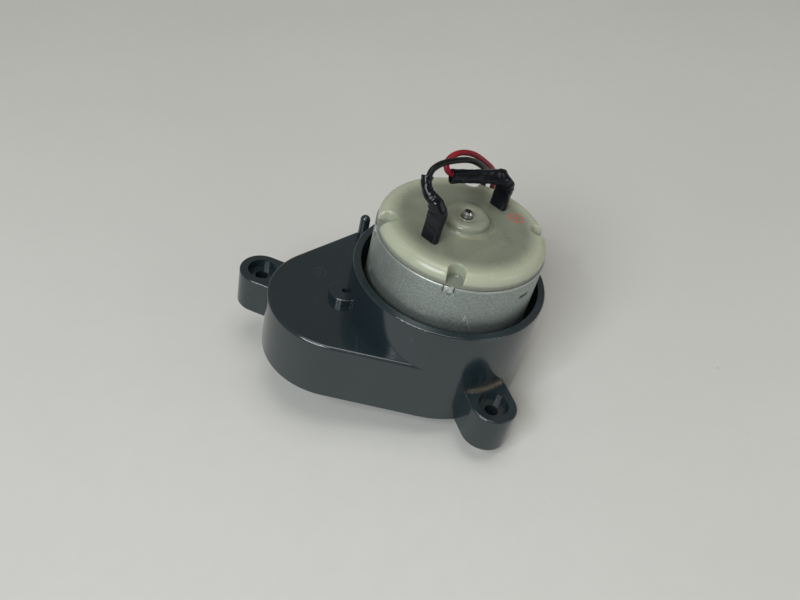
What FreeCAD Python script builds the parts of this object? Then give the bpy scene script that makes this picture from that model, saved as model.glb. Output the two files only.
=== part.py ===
"""Flat DC motor on an offset three-stage gearbox: a parametric FreeCAD document.

Frame: millimetres, +Z up along every shaft. The origin is on the output shaft's axis,
where the shaft leaves the housing's mounting plane (z = 0). The motor's axis is at
+motor_offset on X, and the output shaft points down, towards -Z.
"""
import FreeCAD
import Part
import math
import os
import Sketcher

os.makedirs("parts", exist_ok=True)
doc = FreeCAD.newDocument("flat_gearmotor")
Vector = FreeCAD.Vector
UP = Vector(0, 0, 1)

# Driving dimensions: millimetres, degrees and tooth counts.
SIZES = {
    # housing
    "motor_offset": 19.2, "case_radius": 14.7, "case_height": 12.7, "case_wall": 1.6,
    "roof": 1.5, "cup_radius": 18.7, "cup_wall": 1.4, "cup_height": 21.6,
    "edge_round": 0.6, "cover_thickness": 1.6, "cover_gap": 0.08,
    # mounting ears: the circle's reach past the wall, its direction and its root's direction
    "ear_radius": 4.55, "ear_height": 7.9, "ear_hole_radius": 1.3, "ear_sink_radius": 2.9,
    "ear_sink_depth": 1.7, "ear_root": 5.0, "ear_round": 0.3,
    "left_ear_reach": 4.87, "left_ear_turn": 143.1, "left_root_turn": 130.0,
    "front_ear_reach": 4.04, "front_ear_turn": -67.8, "front_root_turn": -62.0,
    "back_ear_reach": 3.8, "back_ear_turn": 78.0, "back_root_turn": 78.0,
    # boss and pip on the roof, posts for the cover's screws
    "boss_radius": 3.04, "boss_height": 1.5, "boss_hole_radius": 0.6,
    "boss_round": 0.3, "rim_round": 0.3,
    "pip_along": 15.9, "pip_inset": 1.8, "pip_radius": 1.05, "pip_height": 5.3,
    "post_radius": 2.1, "screw_radius": 0.8, "screw_length": 7.0,
    "screw_head_radius": 1.7, "screw_head_height": 1.0, "screw_gap": 0.02,
    # gear train: modules and tooth counts of the three stages
    "first_module": 0.4, "first_pinion_teeth": 14, "first_wheel_teeth": 60,
    "second_module": 0.5, "second_pinion_teeth": 12, "second_wheel_teeth": 42,
    "third_module": 0.6, "third_pinion_teeth": 12, "third_wheel_teeth": 38,
    "addendum": 0.78, "dedendum": 1.12, "tooth_thinning": 0.06,
    "wheel_clearance": 0.4, "output_wheel_width": 3.0, "second_wheel_width": 2.2,
    "first_wheel_width": 2.4, "gear_hub_radius": 1.7, "running_gap": 0.04,
    "press_gap": 0.01, "axle_radius": 0.7,
    # output shaft, stepped at the mounting plane and cut to a D below it
    "shaft_radius": 2.5, "shaft_reach": 7.4, "shaft_flat": 2.0, "shaft_tip": 0.4,
    "shaft_neck": 1.2,
    "journal_radius": 3.0, "bush_wall": 1.2, "output_hub_radius": 3.7,
    "shaft_thread_radius": 1.0, "shaft_thread_depth": 5.5,
    # motor
    "can_radius": 16.0, "can_height": 17.5, "can_wall": 0.9, "can_boss_radius": 3.0,
    "can_boss_drop": 1.3, "bearing_radius": 2.3, "bearing_length": 2.2,
    "can_round": 0.15,
    "rotor_shaft_radius": 1.0, "rotor_shaft_tip": 0.35,
    "rotor_length": 8.0, "air_gap": 0.45, "magnet_thickness": 3.3, "magnet_arc": 118.0,
    "pole_arc": 98.0, "arm_width": 3.6, "shoe_thickness": 1.5, "coil_build": 1.9,
    "commutator_radius": 2.9, "commutator_length": 3.2, "commutator_slit": 0.3,
    "motor_screw_circle": 8.0, "motor_screw_turn": 60.0, "motor_screw_radius": 1.0,
    "motor_screw_head": 1.9,
    # end cap and terminals
    "cap_radius": 15.8, "cap_height": 2.9, "cap_round": 1.8, "cap_plate": 1.5,
    "cap_recess_radius": 12.2, "cap_skirt": 1.5, "cap_boss_radius": 4.0,
    "cap_boss_height": 1.7, "cap_boss_flare": 0.8, "notch_width": 3.1, "notch_depth": 3.0, "notch_turn": 0.0,
    "terminal_circle": 9.7, "terminal_turn": 40.0, "terminal_width": 2.4,
    "terminal_thickness": 0.5, "terminal_rise": 3.2,
    # leads, sleeves and plug
    "lead_radius": 0.55, "sleeve_wall": 0.35, "sleeve_width": 3.5, "sleeve_depth": 1.5,
    "plug_length": 8.0, "plug_width": 6.0, "plug_height": 4.2,
    "plug_pitch": 2.5, "contact_length": 5.0,
}

# Values that follow from the driving dimensions, as formulas of the second sheet.
PLACES = {
    "chamber_radius": "=sizes.case_radius - sizes.case_wall",
    "chamber_cup_radius": "=sizes.cup_radius - sizes.case_wall",
    "cover_radius": "=chamber_radius - sizes.cover_gap",
    "cover_cup_radius": "=chamber_cup_radius - sizes.cover_gap",
    "chamber_top": "=sizes.case_height - sizes.roof",
    "cup_inner": "=sizes.cup_radius - sizes.cup_wall",
    # ears: each circle stands off its wall, and its root lies inside the same wall
    "left_ear_x": "=(sizes.case_radius + sizes.left_ear_reach)*cos(sizes.left_ear_turn)",
    "left_ear_y": "=(sizes.case_radius + sizes.left_ear_reach)*sin(sizes.left_ear_turn)",
    "left_root_x": "=(sizes.case_radius - sizes.ear_root)*cos(sizes.left_root_turn)",
    "left_root_y": "=(sizes.case_radius - sizes.ear_root)*sin(sizes.left_root_turn)",
    "front_ear_x": "=sizes.motor_offset + (sizes.cup_radius + sizes.front_ear_reach)"
                   "*cos(sizes.front_ear_turn)",
    "front_ear_y": "=(sizes.cup_radius + sizes.front_ear_reach)*sin(sizes.front_ear_turn)",
    "front_root_x": "=sizes.motor_offset + (sizes.cup_radius - sizes.ear_root)"
                    "*cos(sizes.front_root_turn)",
    "front_root_y": "=(sizes.cup_radius - sizes.ear_root)*sin(sizes.front_root_turn)",
    # the first wheel lies square behind the motor, at the first stage's centre distance
    "first_gear_x": "=sizes.motor_offset",
    "first_gear_y": "=sizes.first_module*(sizes.first_pinion_teeth+sizes.first_wheel_teeth)/2",
    "back_ear_x": "=first_gear_x + (sizes.case_radius + sizes.back_ear_reach)"
                  "*cos(sizes.back_ear_turn)",
    "back_ear_y": "=first_gear_y + (sizes.case_radius + sizes.back_ear_reach)"
                  "*sin(sizes.back_ear_turn)",
    "back_root_x": "=first_gear_x + (sizes.case_radius - sizes.ear_root)*cos(sizes.back_root_turn)",
    "back_root_y": "=first_gear_y + (sizes.case_radius - sizes.ear_root)*sin(sizes.back_root_turn)",
    "second_span": "=sizes.second_module*(sizes.second_pinion_teeth+sizes.second_wheel_teeth)/2",
    "third_span": "=sizes.third_module*(sizes.third_pinion_teeth+sizes.third_wheel_teeth)/2",
    # the second gear closes the triangle between the output shaft and the first gear
    "train_span": "=sqrt(first_gear_x^2 + first_gear_y^2)",
    "train_along": "=(third_span^2 - second_span^2 + train_span^2)/(2*train_span)",
    "train_aside": "=sqrt(third_span^2 - train_along^2)",
    "second_gear_x": "=(train_along*first_gear_x + train_aside*first_gear_y)/train_span",
    "second_gear_y": "=(train_along*first_gear_y - train_aside*first_gear_x)/train_span",
    # gear levels, from the cover up
    "output_wheel_base": "=sizes.cover_thickness + sizes.wheel_clearance",
    "output_wheel_top": "=output_wheel_base + sizes.output_wheel_width",
    "second_wheel_base": "=output_wheel_top + sizes.wheel_clearance",
    "second_wheel_top": "=second_wheel_base + sizes.second_wheel_width",
    "first_wheel_base": "=second_wheel_top + sizes.wheel_clearance",
    "first_wheel_top": "=first_wheel_base + sizes.first_wheel_width",
    "axle_bottom": "=0.3",
    "axle_top": "=chamber_top + sizes.roof/2",
    # journals and bushes of the output shaft
    "bush_bore": "=sizes.journal_radius + sizes.running_gap",
    "bush_radius": "=bush_bore + sizes.bush_wall",
    "bush_seat": "=bush_radius + sizes.press_gap",
    "bush_boss_radius": "=bush_seat + 1.1",
    "upper_bush_base": "=second_wheel_top + sizes.wheel_clearance",
    "journal_top": "=chamber_top - 0.1",
    # motor levels
    "can_base": "=sizes.case_height",
    "can_top": "=can_base + sizes.can_height",
    "can_inner": "=sizes.can_radius - sizes.can_wall",
    "cap_top": "=can_top + sizes.cap_height",
    "cap_boss_top": "=cap_top + sizes.cap_boss_height",
    "cap_under": "=cap_top - sizes.cap_plate",
    "front_bearing_base": "=can_base - sizes.can_boss_drop + 0.3",
    "rear_bearing_base": "=cap_under + 0.1",
    "rotor_shaft_base": "=first_wheel_base - 0.1",
    "rotor_shaft_top": "=cap_boss_top + 0.7",
    "rotor_base": "=can_base + (sizes.can_height - sizes.rotor_length)/2 - 0.6",
    "rotor_top": "=rotor_base + sizes.rotor_length",
    "magnet_outer": "=can_inner - 0.12",
    "magnet_inner": "=magnet_outer - sizes.magnet_thickness",
    "rotor_radius": "=magnet_inner - sizes.air_gap",
    "coil_base": "=rotor_base - sizes.coil_build",
    "coil_top": "=rotor_top + sizes.coil_build",
    "commutator_base": "=coil_top + 0.3",
    "commutator_top": "=commutator_base + sizes.commutator_length",
    "brush_level": "=commutator_base + sizes.commutator_length/2",
    "shoe_inner": "=rotor_radius - sizes.shoe_thickness",
    "coil_half": "=sizes.arm_width/2 + sizes.coil_build",
    "coil_outer": "=sqrt(shoe_inner^2 - coil_half^2) - 0.15",
    "coil_inner": "=coil_half",
    "magnet_base": "=rotor_base - 1.5",
    "magnet_height": "=sizes.rotor_length + 3.0",
}

sheet = doc.addObject("Spreadsheet::Sheet", "sizes")
for row, (alias, number) in enumerate(SIZES.items(), start=1):
    sheet.set("A%d" % row, alias)
    sheet.set("B%d" % row, str(number))
    sheet.setAlias("B%d" % row, alias)
places = doc.addObject("Spreadsheet::Sheet", "places")
for row, alias in enumerate(PLACES, start=1):
    places.setAlias("B%d" % row, alias)
for row, (alias, formula) in enumerate(PLACES.items(), start=1):
    places.set("A%d" % row, alias)
    places.set("B%d" % row, formula)
doc.recompute()


def val(alias):
    """Number that one alias holds."""
    return float(sheet.get(alias) if alias in SIZES else places.get(alias))


def formula(text):
    """Formula with each alias written as its sheet's own."""
    words = []
    for word in text.split():
        if word in SIZES:
            word = "sizes." + word
        elif word in PLACES:
            word = "places." + word
        words.append(word)
    return " ".join(words)


def bind(thing, **properties):
    """Bind properties to formulas; Base_x stands for Placement.Base.x."""
    for name, text in properties.items():
        path = name.replace("Base_", "Placement.Base.").replace("Turn", "Placement.Rotation.Angle")
        thing.setExpression(path, formula(text))
    return thing


def cylinder(name, radius, low, high, at=("0", "0"), arc=None, turn=None):
    """Upright cylinder, or a wedge of one, between two levels."""
    solid = doc.addObject("Part::Cylinder", name)
    bind(solid, Radius=radius, Height="%s - ( %s )" % (high, low))
    bind(solid, Base_x=at[0], Base_y=at[1], Base_z=low)
    if arc:
        bind(solid, Angle=arc)
        solid.Placement.Rotation = FreeCAD.Rotation(UP, 1)
        bind(solid, Turn=turn)
    return solid


def rimmed(name, rod, level, radius):
    """Upright rod with its edge at one level rounded."""
    doc.recompute()
    rounded = doc.addObject("Part::Fillet", name)
    rounded.Base = rod
    rounded.Edges = [(number, val(radius), val(radius))
                     for number, edge in enumerate(rod.Shape.Edges, start=1)
                     if edge.Closed and abs(edge.BoundBox.ZMin - level) < 1e-6
                     and abs(edge.BoundBox.ZMax - level) < 1e-6]
    return rounded


def cone(name, low_radius, high_radius, low, high, at=("0", "0")):
    """Upright cone between two levels."""
    solid = doc.addObject("Part::Cone", name)
    bind(solid, Radius1=low_radius, Radius2=high_radius, Height="%s - ( %s )" % (high, low))
    return bind(solid, Base_x=at[0], Base_y=at[1], Base_z=low)


def fuse(name, *solids):
    """One solid of several that touch."""
    joined = doc.addObject("Part::MultiFuse", name)
    joined.Shapes = list(solids)
    joined.Refine = True
    return joined


def group(name, *solids):
    """Separate solids that share one node."""
    together = doc.addObject("Part::Compound", name)
    together.Links = list(solids)
    return together


def cut(name, base, *tools):
    """The base less its tools."""
    left = doc.addObject("Part::Cut", name)
    left.Base = base
    left.Tool = tools[0] if len(tools) == 1 else fuse(name + "_tools", *tools)
    left.Refine = True
    return left


def ring(name, outer, inner, low, high, at=("0", "0"), arc=None, turn=None):
    """Tube, or an arc of one, between two levels."""
    hole_low = "%s - 1" % low
    hole_high = "%s + 1" % high
    return cut(name, cylinder(name + "_outer", outer, low, high, at, arc, turn),
               cylinder(name + "_inner", inner, hole_low, hole_high, at))


def shape_node(name, shape):
    """Piece whose shape is computed from the sheets."""
    piece = doc.addObject("Part::Feature", name)
    piece.Shape = shape
    piece.Placement = FreeCAD.Placement()
    return piece


def origin_plane(body, role):
    """One of the body's own origin planes."""
    return [item for item in body.Origin.OriginFeatures if item.Role == role][0]


def flat_sketch(body, name, level="0"):
    """Sketch parallel to the XY plane at a level."""
    sketch = body.newObject("Sketcher::SketchObject", name)
    sketch.AttachmentSupport = [(origin_plane(body, "XY_Plane"), "")]
    sketch.MapMode = "FlatFace"
    sketch.setExpression("AttachmentOffset.Base.z", formula(level))
    return sketch


def belt(sketch, circles):
    """Closed belt round circles given as (x alias, y alias, radius alias), anticlockwise.

    Each side is tangent to two circles: its outward normal leans from the line of
    centres by the arc cosine of the difference of radii over their distance.
    """
    spots = [(val(x) if x else 0.0, val(y) if y else 0.0, val(r)) for x, y, r in circles]
    count = len(spots)
    normals = []
    for index, (x, y, radius) in enumerate(spots):
        next_x, next_y, next_radius = spots[(index + 1) % count]
        span = math.hypot(next_x - x, next_y - y)
        heading = math.atan2(next_y - y, next_x - x)
        normals.append(heading - math.acos((radius - next_radius) / span))
    for index, (x, y, radius) in enumerate(spots):
        start = normals[index - 1]
        end = normals[index]
        while end < start:
            end += 2 * math.pi
        circle = Part.Circle(Vector(x, y, 0), UP, radius)
        sketch.addGeometry(Part.ArcOfCircle(circle, start, end))
        next_x, next_y, next_radius = spots[(index + 1) % count]
        out = Vector(math.cos(normals[index]), math.sin(normals[index]), 0)
        sketch.addGeometry(Part.LineSegment(Vector(x, y, 0) + out * radius,
                                            Vector(next_x, next_y, 0) + out * next_radius))
    for index, (x, y, radius) in enumerate(circles):
        arc = 2 * index
        for kind, alias, axis in (("DistanceX", x, -2), ("DistanceY", y, -1)):
            if alias:
                number = sketch.addConstraint(Sketcher.Constraint(kind, -1, 1, arc, 3, val(alias)))
                sketch.setExpression("Constraints[%d]" % number, formula(alias))
            else:
                sketch.addConstraint(Sketcher.Constraint("PointOnObject", arc, 3, axis))
        number = sketch.addConstraint(Sketcher.Constraint("Radius", arc, val(radius)))
        sketch.setExpression("Constraints[%d]" % number, formula(radius))
        sketch.addConstraint(Sketcher.Constraint("Tangent", arc, 2, arc + 1, 1))
        following = (arc + 2) % (2 * count)
        sketch.addConstraint(Sketcher.Constraint("Tangent", arc + 1, 2, following, 1))


def pad(body, name, circles, height, level="0"):
    """Belt outline raised from a level by a height."""
    sketch = flat_sketch(body, name + "_outline", level)
    belt(sketch, circles)
    feature = body.newObject("PartDesign::Pad", name)
    feature.Profile = sketch
    feature.setExpression("Length", formula(height))
    sketch.Visibility = False
    return feature


def round_edges(body, name, base, level, radius):
    """Fillet every edge of the base that lies at one level."""
    doc.recompute()
    edges = ["Edge%d" % (number + 1) for number, edge in enumerate(base.Shape.Edges)
             if abs(edge.BoundBox.ZMin - level) < 1e-6 and abs(edge.BoundBox.ZMax - level) < 1e-6]
    feature = body.newObject("PartDesign::Fillet", name)
    feature.Base = (base, edges)
    feature.setExpression("Radius", formula(radius))
    return feature


def outer_edges(body, name, base, level, radius):
    """Fillet an ear's own edges at one level, and leave those along the case's round walls."""
    doc.recompute()
    edges = []
    for number, edge in enumerate(base.Shape.Edges, start=1):
        flat = abs(edge.BoundBox.ZMin - level) < 1e-6 and abs(edge.BoundBox.ZMax - level) < 1e-6
        wall = isinstance(edge.Curve, Part.Circle) and edge.Curve.Radius > 2 * val("ear_radius")
        if flat and not wall:
            edges.append("Edge%d" % number)
    feature = body.newObject("PartDesign::Fillet", name)
    feature.Base = (base, edges)
    feature.setExpression("Radius", formula(radius))
    return feature


def polar(at, reach, turn):
    """Formulas of a point at a reach and a direction from an axis."""
    return ("%s + ( %s ) * cos( %s )" % (at[0], reach, turn),
            "%s + ( %s ) * sin( %s )" % (at[1], reach, turn))


OUTPUT_AT = ("0", "0")
MOTOR_AT = ("motor_offset", "0")
FIRST_AT = ("first_gear_x", "first_gear_y")
SECOND_AT = ("second_gear_x", "second_gear_y")
CASE_BELT = [("motor_offset", None, "cup_radius"),
             ("first_gear_x", "first_gear_y", "case_radius"), (None, None, "case_radius")]
CHAMBER_BELT = [("motor_offset", None, "chamber_cup_radius"),
                ("first_gear_x", "first_gear_y", "chamber_radius"), (None, None, "chamber_radius")]
COVER_BELT = [("motor_offset", None, "cover_cup_radius"),
              ("first_gear_x", "first_gear_y", "cover_radius"), (None, None, "cover_radius")]
EARS = ("left", "front", "back")
NOTCH_TURNS = (0, 76, 182, 256)


# ---------------------------------------------------------------- housing

def gear_case():
    """Teardrop case with the motor's cup, three ears, roof boss, pip and screw posts."""
    body = doc.addObject("PartDesign::Body", "case_block")
    block = pad(body, "case_wall_pad", CASE_BELT, "case_height")
    round_edges(body, "case_round", block, val("case_height"), "edge_round")
    for ear in EARS:
        pad(body, ear + "_ear_pad",
            [(ear + "_root_x", ear + "_root_y", "ear_radius"),
             (ear + "_ear_x", ear + "_ear_y", "ear_radius")], "ear_height")
        outer_edges(body, ear + "_ear_round", body.Tip, val("ear_height"), "ear_round")
    pip_at = ("( pip_along * first_gear_x - ( case_radius - pip_inset ) * first_gear_y ) / train_span",
              "( pip_along * first_gear_y + ( case_radius - pip_inset ) * first_gear_x ) / train_span")
    pip_top = "case_height + pip_height - pip_radius"
    pip = cylinder("pip_stem", "pip_radius", "case_height - 0.5", pip_top, pip_at)
    pip_head = doc.addObject("Part::Sphere", "pip_head")
    bind(pip_head, Radius="pip_radius", Base_x=pip_at[0], Base_y=pip_at[1], Base_z=pip_top)
    cup = rimmed("cup_wall_rim", cylinder("cup_wall_solid", "cup_radius", "0", "cup_height",
                                          MOTOR_AT), val("cup_height"), "rim_round")
    boss = rimmed("roof_boss_rim", cylinder("roof_boss", "boss_radius", "case_height - 0.5",
                                            "case_height + boss_height"),
                  val("case_height") + val("boss_height"), "boss_round")
    shell = cut("case_shell", fuse("case_solid", body, cup, boss, pip, pip_head), chamber(),
                cylinder("cup_hollow", "cup_inner", "case_height", "cup_height + 1", MOTOR_AT))
    bush_boss = cylinder("bush_boss", "bush_boss_radius", "upper_bush_base - 0.1",
                         "chamber_top + 0.2")
    first_boss = cylinder("first_axle_boss", "gear_hub_radius", "first_wheel_top + 0.3",
                          "chamber_top + 0.2", FIRST_AT)
    posts = [cylinder("post_%d" % number, "post_radius", "cover_thickness",
                      "chamber_top + 0.2", at) for number, at in enumerate(post_places())]
    pilots = [cylinder("pilot_%d" % number, "screw_radius + screw_gap", "cover_thickness - 1",
                       "screw_length + 0.6", at) for number, at in enumerate(post_places())]
    sinks = [cylinder("motor_screw_seat_%d" % number, "motor_screw_radius + 0.1",
                      "chamber_top - 0.5", "case_height + 0.5", at)
             for number, at in enumerate(motor_screw_places())]
    sinks += [cone("motor_screw_sink_%d" % number, "motor_screw_head + 0.1",
                   "motor_screw_radius + 0.1", "chamber_top",
                   "chamber_top + motor_screw_head - motor_screw_radius", at)
              for number, at in enumerate(motor_screw_places())]
    ear_holes = []
    for ear in EARS:
        at = (ear + "_ear_x", ear + "_ear_y")
        ear_holes.append(cylinder(ear + "_ear_hole", "ear_hole_radius", "-1", "ear_height + 1", at))
        ear_holes.append(cylinder(ear + "_ear_sink", "ear_sink_radius",
                                  "ear_height - ear_sink_depth", "ear_height + 1", at))
    case = cut("gear_case", fuse("case_with_posts", shell, bush_boss, first_boss, *posts),
               *pilots, *sinks, *ear_holes,
               cylinder("upper_bush_seat", "bush_seat", "upper_bush_base - 1", "journal_top"),
               cylinder("boss_hole", "boss_hole_radius", "case_height - 0.3",
                        "case_height + boss_height + 1"),
               cylinder("can_boss_hole", "can_boss_radius + 0.05", "chamber_top - 1",
                        "case_height + 1", MOTOR_AT),
               cylinder("first_axle_seat", "axle_radius + press_gap", "chamber_top - 3",
                        "axle_top", FIRST_AT),
               cylinder("second_axle_seat", "axle_radius + press_gap", "chamber_top - 3",
                        "axle_top", SECOND_AT))
    return case


def chamber():
    """Hollow of the gear case, open at the mounting plane."""
    body = doc.addObject("PartDesign::Body", "gear_chamber")
    pad(body, "chamber_pad", CHAMBER_BELT, "chamber_top + 1", "-1")
    return body


def post_places():
    """Axes of the posts that take the cover's screws, clear of every wheel."""
    beside = "( case_radius - 3.6 )"
    back = ("first_gear_x / 2 - %s * first_gear_y / train_span" % beside,
            "first_gear_y / 2 + %s * first_gear_x / train_span" % beside)
    return [polar(OUTPUT_AT, "case_radius + 0.3", "-60"), back,
            polar(MOTOR_AT, "cup_radius - 4.2", "28"), polar(MOTOR_AT, "cup_radius - 3.9", "-50")]


def motor_screw_places():
    """Axes of the two screws that hold the motor in its cup."""
    return [polar(MOTOR_AT, "motor_screw_circle", "motor_screw_turn + %d" % turn)
            for turn in (0, 180)]


def bottom_cover():
    """Flat cover set into the case's open side, with axle seats and the lower bush's hole."""
    body = doc.addObject("PartDesign::Body", "cover_plate")
    pad(body, "cover_pad", COVER_BELT, "cover_thickness")
    bosses = [cylinder(name + "_thrust_boss", "gear_hub_radius", "cover_thickness - 0.2",
                       "output_wheel_base - 0.1", at)
              for name, at in (("first", FIRST_AT), ("second", SECOND_AT))]
    seats = [cylinder(name + "_cover_seat", "axle_radius + press_gap", "axle_bottom",
                      "cover_thickness + 1", at)
             for name, at in (("first", FIRST_AT), ("second", SECOND_AT))]
    holes = []
    for number, at in enumerate(post_places()):
        holes.append(cylinder("cover_hole_%d" % number, "screw_radius + 0.15", "-1",
                              "cover_thickness + 1", at))
        holes.append(cylinder("head_recess_%d" % number, "screw_head_radius + 0.1", "-1",
                              "screw_head_height", at))
    return cut("bottom_cover", fuse("cover_with_bosses", body, *bosses), *seats, *holes,
               cylinder("lower_bush_seat", "bush_seat", "-1", "cover_thickness + 1"))


def screw(name, at):
    """Pan-head screw driven upwards, with a crossed recess."""
    head = cylinder(name + "_head", "screw_head_radius", "0.05", "screw_head_height", at)
    stem = cylinder(name + "_stem", "screw_radius", "screw_head_height - 0.1", "screw_length", at)
    slots = []
    for number, (long_x, long_y) in enumerate(((2.0, 0.4), (0.4, 2.0))):
        slot = doc.addObject("Part::Box", "%s_slot_%d" % (name, number))
        bind(slot, Length=str(long_x), Width=str(long_y), Height="0.55",
             Base_x="%s - %s" % (at[0], long_x / 2), Base_y="%s - %s" % (at[1], long_y / 2))
        slots.append(slot)
    return cut(name, fuse(name + "_solid", head, stem), *slots)


def motor_screw(name, at):
    """Countersunk screw from the gear chamber into the can's base."""
    head_top = "chamber_top + motor_screw_head - motor_screw_radius"
    head = cone(name + "_head", "motor_screw_head", "motor_screw_radius", "chamber_top + 0.05",
                head_top, at)
    stem = cylinder(name + "_stem", "motor_screw_radius", head_top + " - 0.1",
                    "can_base + can_wall - 0.1", at)
    return fuse(name, head, stem)


def bush(name, low, high):
    """Plain bush of the output shaft."""
    return ring(name, "bush_radius", "bush_bore", low, high)


# ---------------------------------------------------------------- gear train

def tooth_outline(teeth, module, phase):
    """Closed outline of a spur gear with 20 degree involute flanks.

    A flank point at radius r lies at the half angle s/(2 r0) + inv(a0) - inv(a) from the
    tooth's middle, with cos(a) = rb/r and inv(a) = tan(a) - a; below the base circle rb the
    flank runs on radially. Each flank is the arc through its root, middle and tip.
    """
    pitch_radius = module * teeth / 2
    base_radius = pitch_radius * math.cos(math.radians(20))
    tip_radius = pitch_radius + val("addendum") * module
    root_radius = pitch_radius - val("dedendum") * module
    flank_foot = max(root_radius, base_radius)
    half_pitch = (math.pi * module / 2 - val("tooth_thinning")) / (2 * pitch_radius)
    involute = lambda angle: math.tan(angle) - angle
    at_pitch = half_pitch + involute(math.radians(20))

    def flank(radius):
        return at_pitch - involute(math.acos(min(1.0, base_radius / radius)))

    def spot(radius, angle):
        return Vector(radius * math.cos(angle), radius * math.sin(angle), 0)

    edges = []
    step = 2 * math.pi / teeth
    for tooth in range(teeth):
        middle = math.radians(phase) + tooth * step
        half_foot = flank(flank_foot)
        half_tip = flank(tip_radius)
        between = (flank_foot + tip_radius) / 2
        rise = [spot(flank_foot, middle - half_foot), spot(between, middle - flank(between)),
                spot(tip_radius, middle - half_tip)]
        fall = [spot(tip_radius, middle + half_tip), spot(between, middle + flank(between)),
                spot(flank_foot, middle + half_foot)]
        low_left = spot(root_radius, middle - half_foot)
        low_right = spot(root_radius, middle + half_foot)
        next_left = spot(root_radius, middle + step - half_foot)
        if root_radius < flank_foot:
            edges.append(Part.makeLine(low_left, rise[0]))
        edges.append(Part.Arc(*rise).toShape())
        edges.append(Part.Arc(rise[2], spot(tip_radius, middle), fall[0]).toShape())
        edges.append(Part.Arc(*fall).toShape())
        if root_radius < flank_foot:
            edges.append(Part.makeLine(fall[2], low_right))
        edges.append(Part.Arc(low_right, spot(root_radius, middle + step / 2),
                              next_left).toShape())
    return Part.Wire(edges)


def toothed(name, stage, kind, low, high, phase, at):
    """Toothed disc of one stage between two levels, one tooth's middle at a phase."""
    outline = tooth_outline(int(val("%s_%s_teeth" % (stage, kind))), val(stage + "_module"), phase)
    disc = Part.Face(outline).extrude(Vector(0, 0, val(high) - val(low)))
    piece = shape_node(name, disc)
    return bind(piece, Base_x=at[0], Base_y=at[1], Base_z=low)


def meshed_phase(driver_phase, driver_teeth, teeth, start, end):
    """Phase of a gear at end so that its gap faces the driver's tooth at start."""
    heading = math.degrees(math.atan2(end[1] - start[1], end[0] - start[0]))
    driver_step = 360.0 / driver_teeth
    step = 360.0 / teeth
    return heading + 180.0 - step * (0.5 - (heading - driver_phase) / driver_step)


def phase_between(driver_phase, stage, start, end):
    """Phase of a stage's wheel that meshes with its pinion."""
    return meshed_phase(driver_phase, val(stage + "_pinion_teeth"), val(stage + "_wheel_teeth"),
                        start, end)


def bored(name, solid, radius, low, high, at):
    """Piece with a bore through it."""
    return cut(name, solid, cylinder(name + "_bore", radius, low + " - 1", high + " + 1", at))


def gear_train():
    """Motor pinion, two compound gears and the output gear, in mesh at rest."""
    motor_spot = (val("motor_offset"), 0.0)
    first_spot = (val("first_gear_x"), val("first_gear_y"))
    second_spot = (val("second_gear_x"), val("second_gear_y"))
    teeth = toothed("motor_pinion_teeth", "first", "pinion", "first_wheel_base",
                    "first_wheel_top", 0.0, MOTOR_AT)
    bored("motor_pinion", teeth, "rotor_shaft_radius + press_gap", "first_wheel_base",
          "first_wheel_top", MOTOR_AT)

    wheel = toothed("first_wheel_teeth_disc", "first", "wheel", "first_wheel_base",
                    "first_wheel_top", phase_between(0.0, "first", motor_spot, first_spot), FIRST_AT)
    pinion = toothed("second_pinion_teeth_disc", "second", "pinion", "second_wheel_base",
                     "first_wheel_base", 0.0, FIRST_AT)
    hub = cylinder("first_gear_hub", "gear_hub_radius", "output_wheel_base",
                   "first_wheel_top + 0.2", FIRST_AT)
    bored("first_gear", fuse("first_gear_solid", wheel, pinion, hub), "axle_radius + running_gap",
          "output_wheel_base", "first_wheel_top", FIRST_AT)

    wheel = toothed("second_wheel_teeth_disc", "second", "wheel", "second_wheel_base",
                    "second_wheel_top", phase_between(0.0, "second", first_spot, second_spot),
                    SECOND_AT)
    pinion = toothed("third_pinion_teeth_disc", "third", "pinion", "output_wheel_base",
                     "second_wheel_base", 0.0, SECOND_AT)
    bored("second_gear", fuse("second_gear_solid", wheel, pinion), "axle_radius + running_gap",
          "output_wheel_base", "second_wheel_top", SECOND_AT)

    wheel = toothed("third_wheel_teeth_disc", "third", "wheel", "output_wheel_base",
                    "output_wheel_top", phase_between(0.0, "third", second_spot, (0.0, 0.0)),
                    OUTPUT_AT)
    hub = cylinder("output_hub", "output_hub_radius", "output_wheel_base",
                   "upper_bush_base - 0.2")
    bored("output_gear", fuse("output_gear_solid", wheel, hub), "journal_radius + press_gap",
          "output_wheel_base", "upper_bush_base", OUTPUT_AT)


def axle(name, at, high):
    """Steel pin with its ends in the cover and the roof."""
    cylinder(name, "axle_radius", "axle_bottom + 0.05", high, at)


def output_shaft():
    """Stepped shaft: round journal and neck, then a D-shaped end down to its tip."""
    journal = cylinder("journal", "journal_radius", "0", "journal_top - 0.1")
    neck = cylinder("shaft_neck_rod", "shaft_radius", "0 - shaft_neck", "0.5")
    stub = cylinder("shaft_stub", "shaft_radius", "shaft_tip - shaft_reach", "0 - shaft_neck")
    tip = cone("shaft_tip_cone", "shaft_radius - shaft_tip", "shaft_radius",
               "0 - shaft_reach", "shaft_tip - shaft_reach")
    flat = doc.addObject("Part::Box", "shaft_flat_cutter")
    bind(flat, Length="shaft_radius", Width="4 * shaft_radius",
         Height="shaft_reach + 1 - shaft_neck", Base_x="shaft_flat",
         Base_y="0 - 2 * shaft_radius", Base_z="0 - shaft_reach - 1")
    d_end = cut("shaft_d_end", fuse("shaft_round_end", stub, tip), flat)
    thread = cylinder("shaft_thread", "shaft_thread_radius", "0 - shaft_reach - 1",
                      "shaft_thread_depth - shaft_reach")
    solid = fuse("shaft_solid", journal, neck, d_end)
    shaft = cut("output_shaft", solid, thread)
    # the neck is round all the way and the end is not, so their walls stay two faces
    solid.Refine = False
    shaft.Refine = False


# ---------------------------------------------------------------- motor

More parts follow.
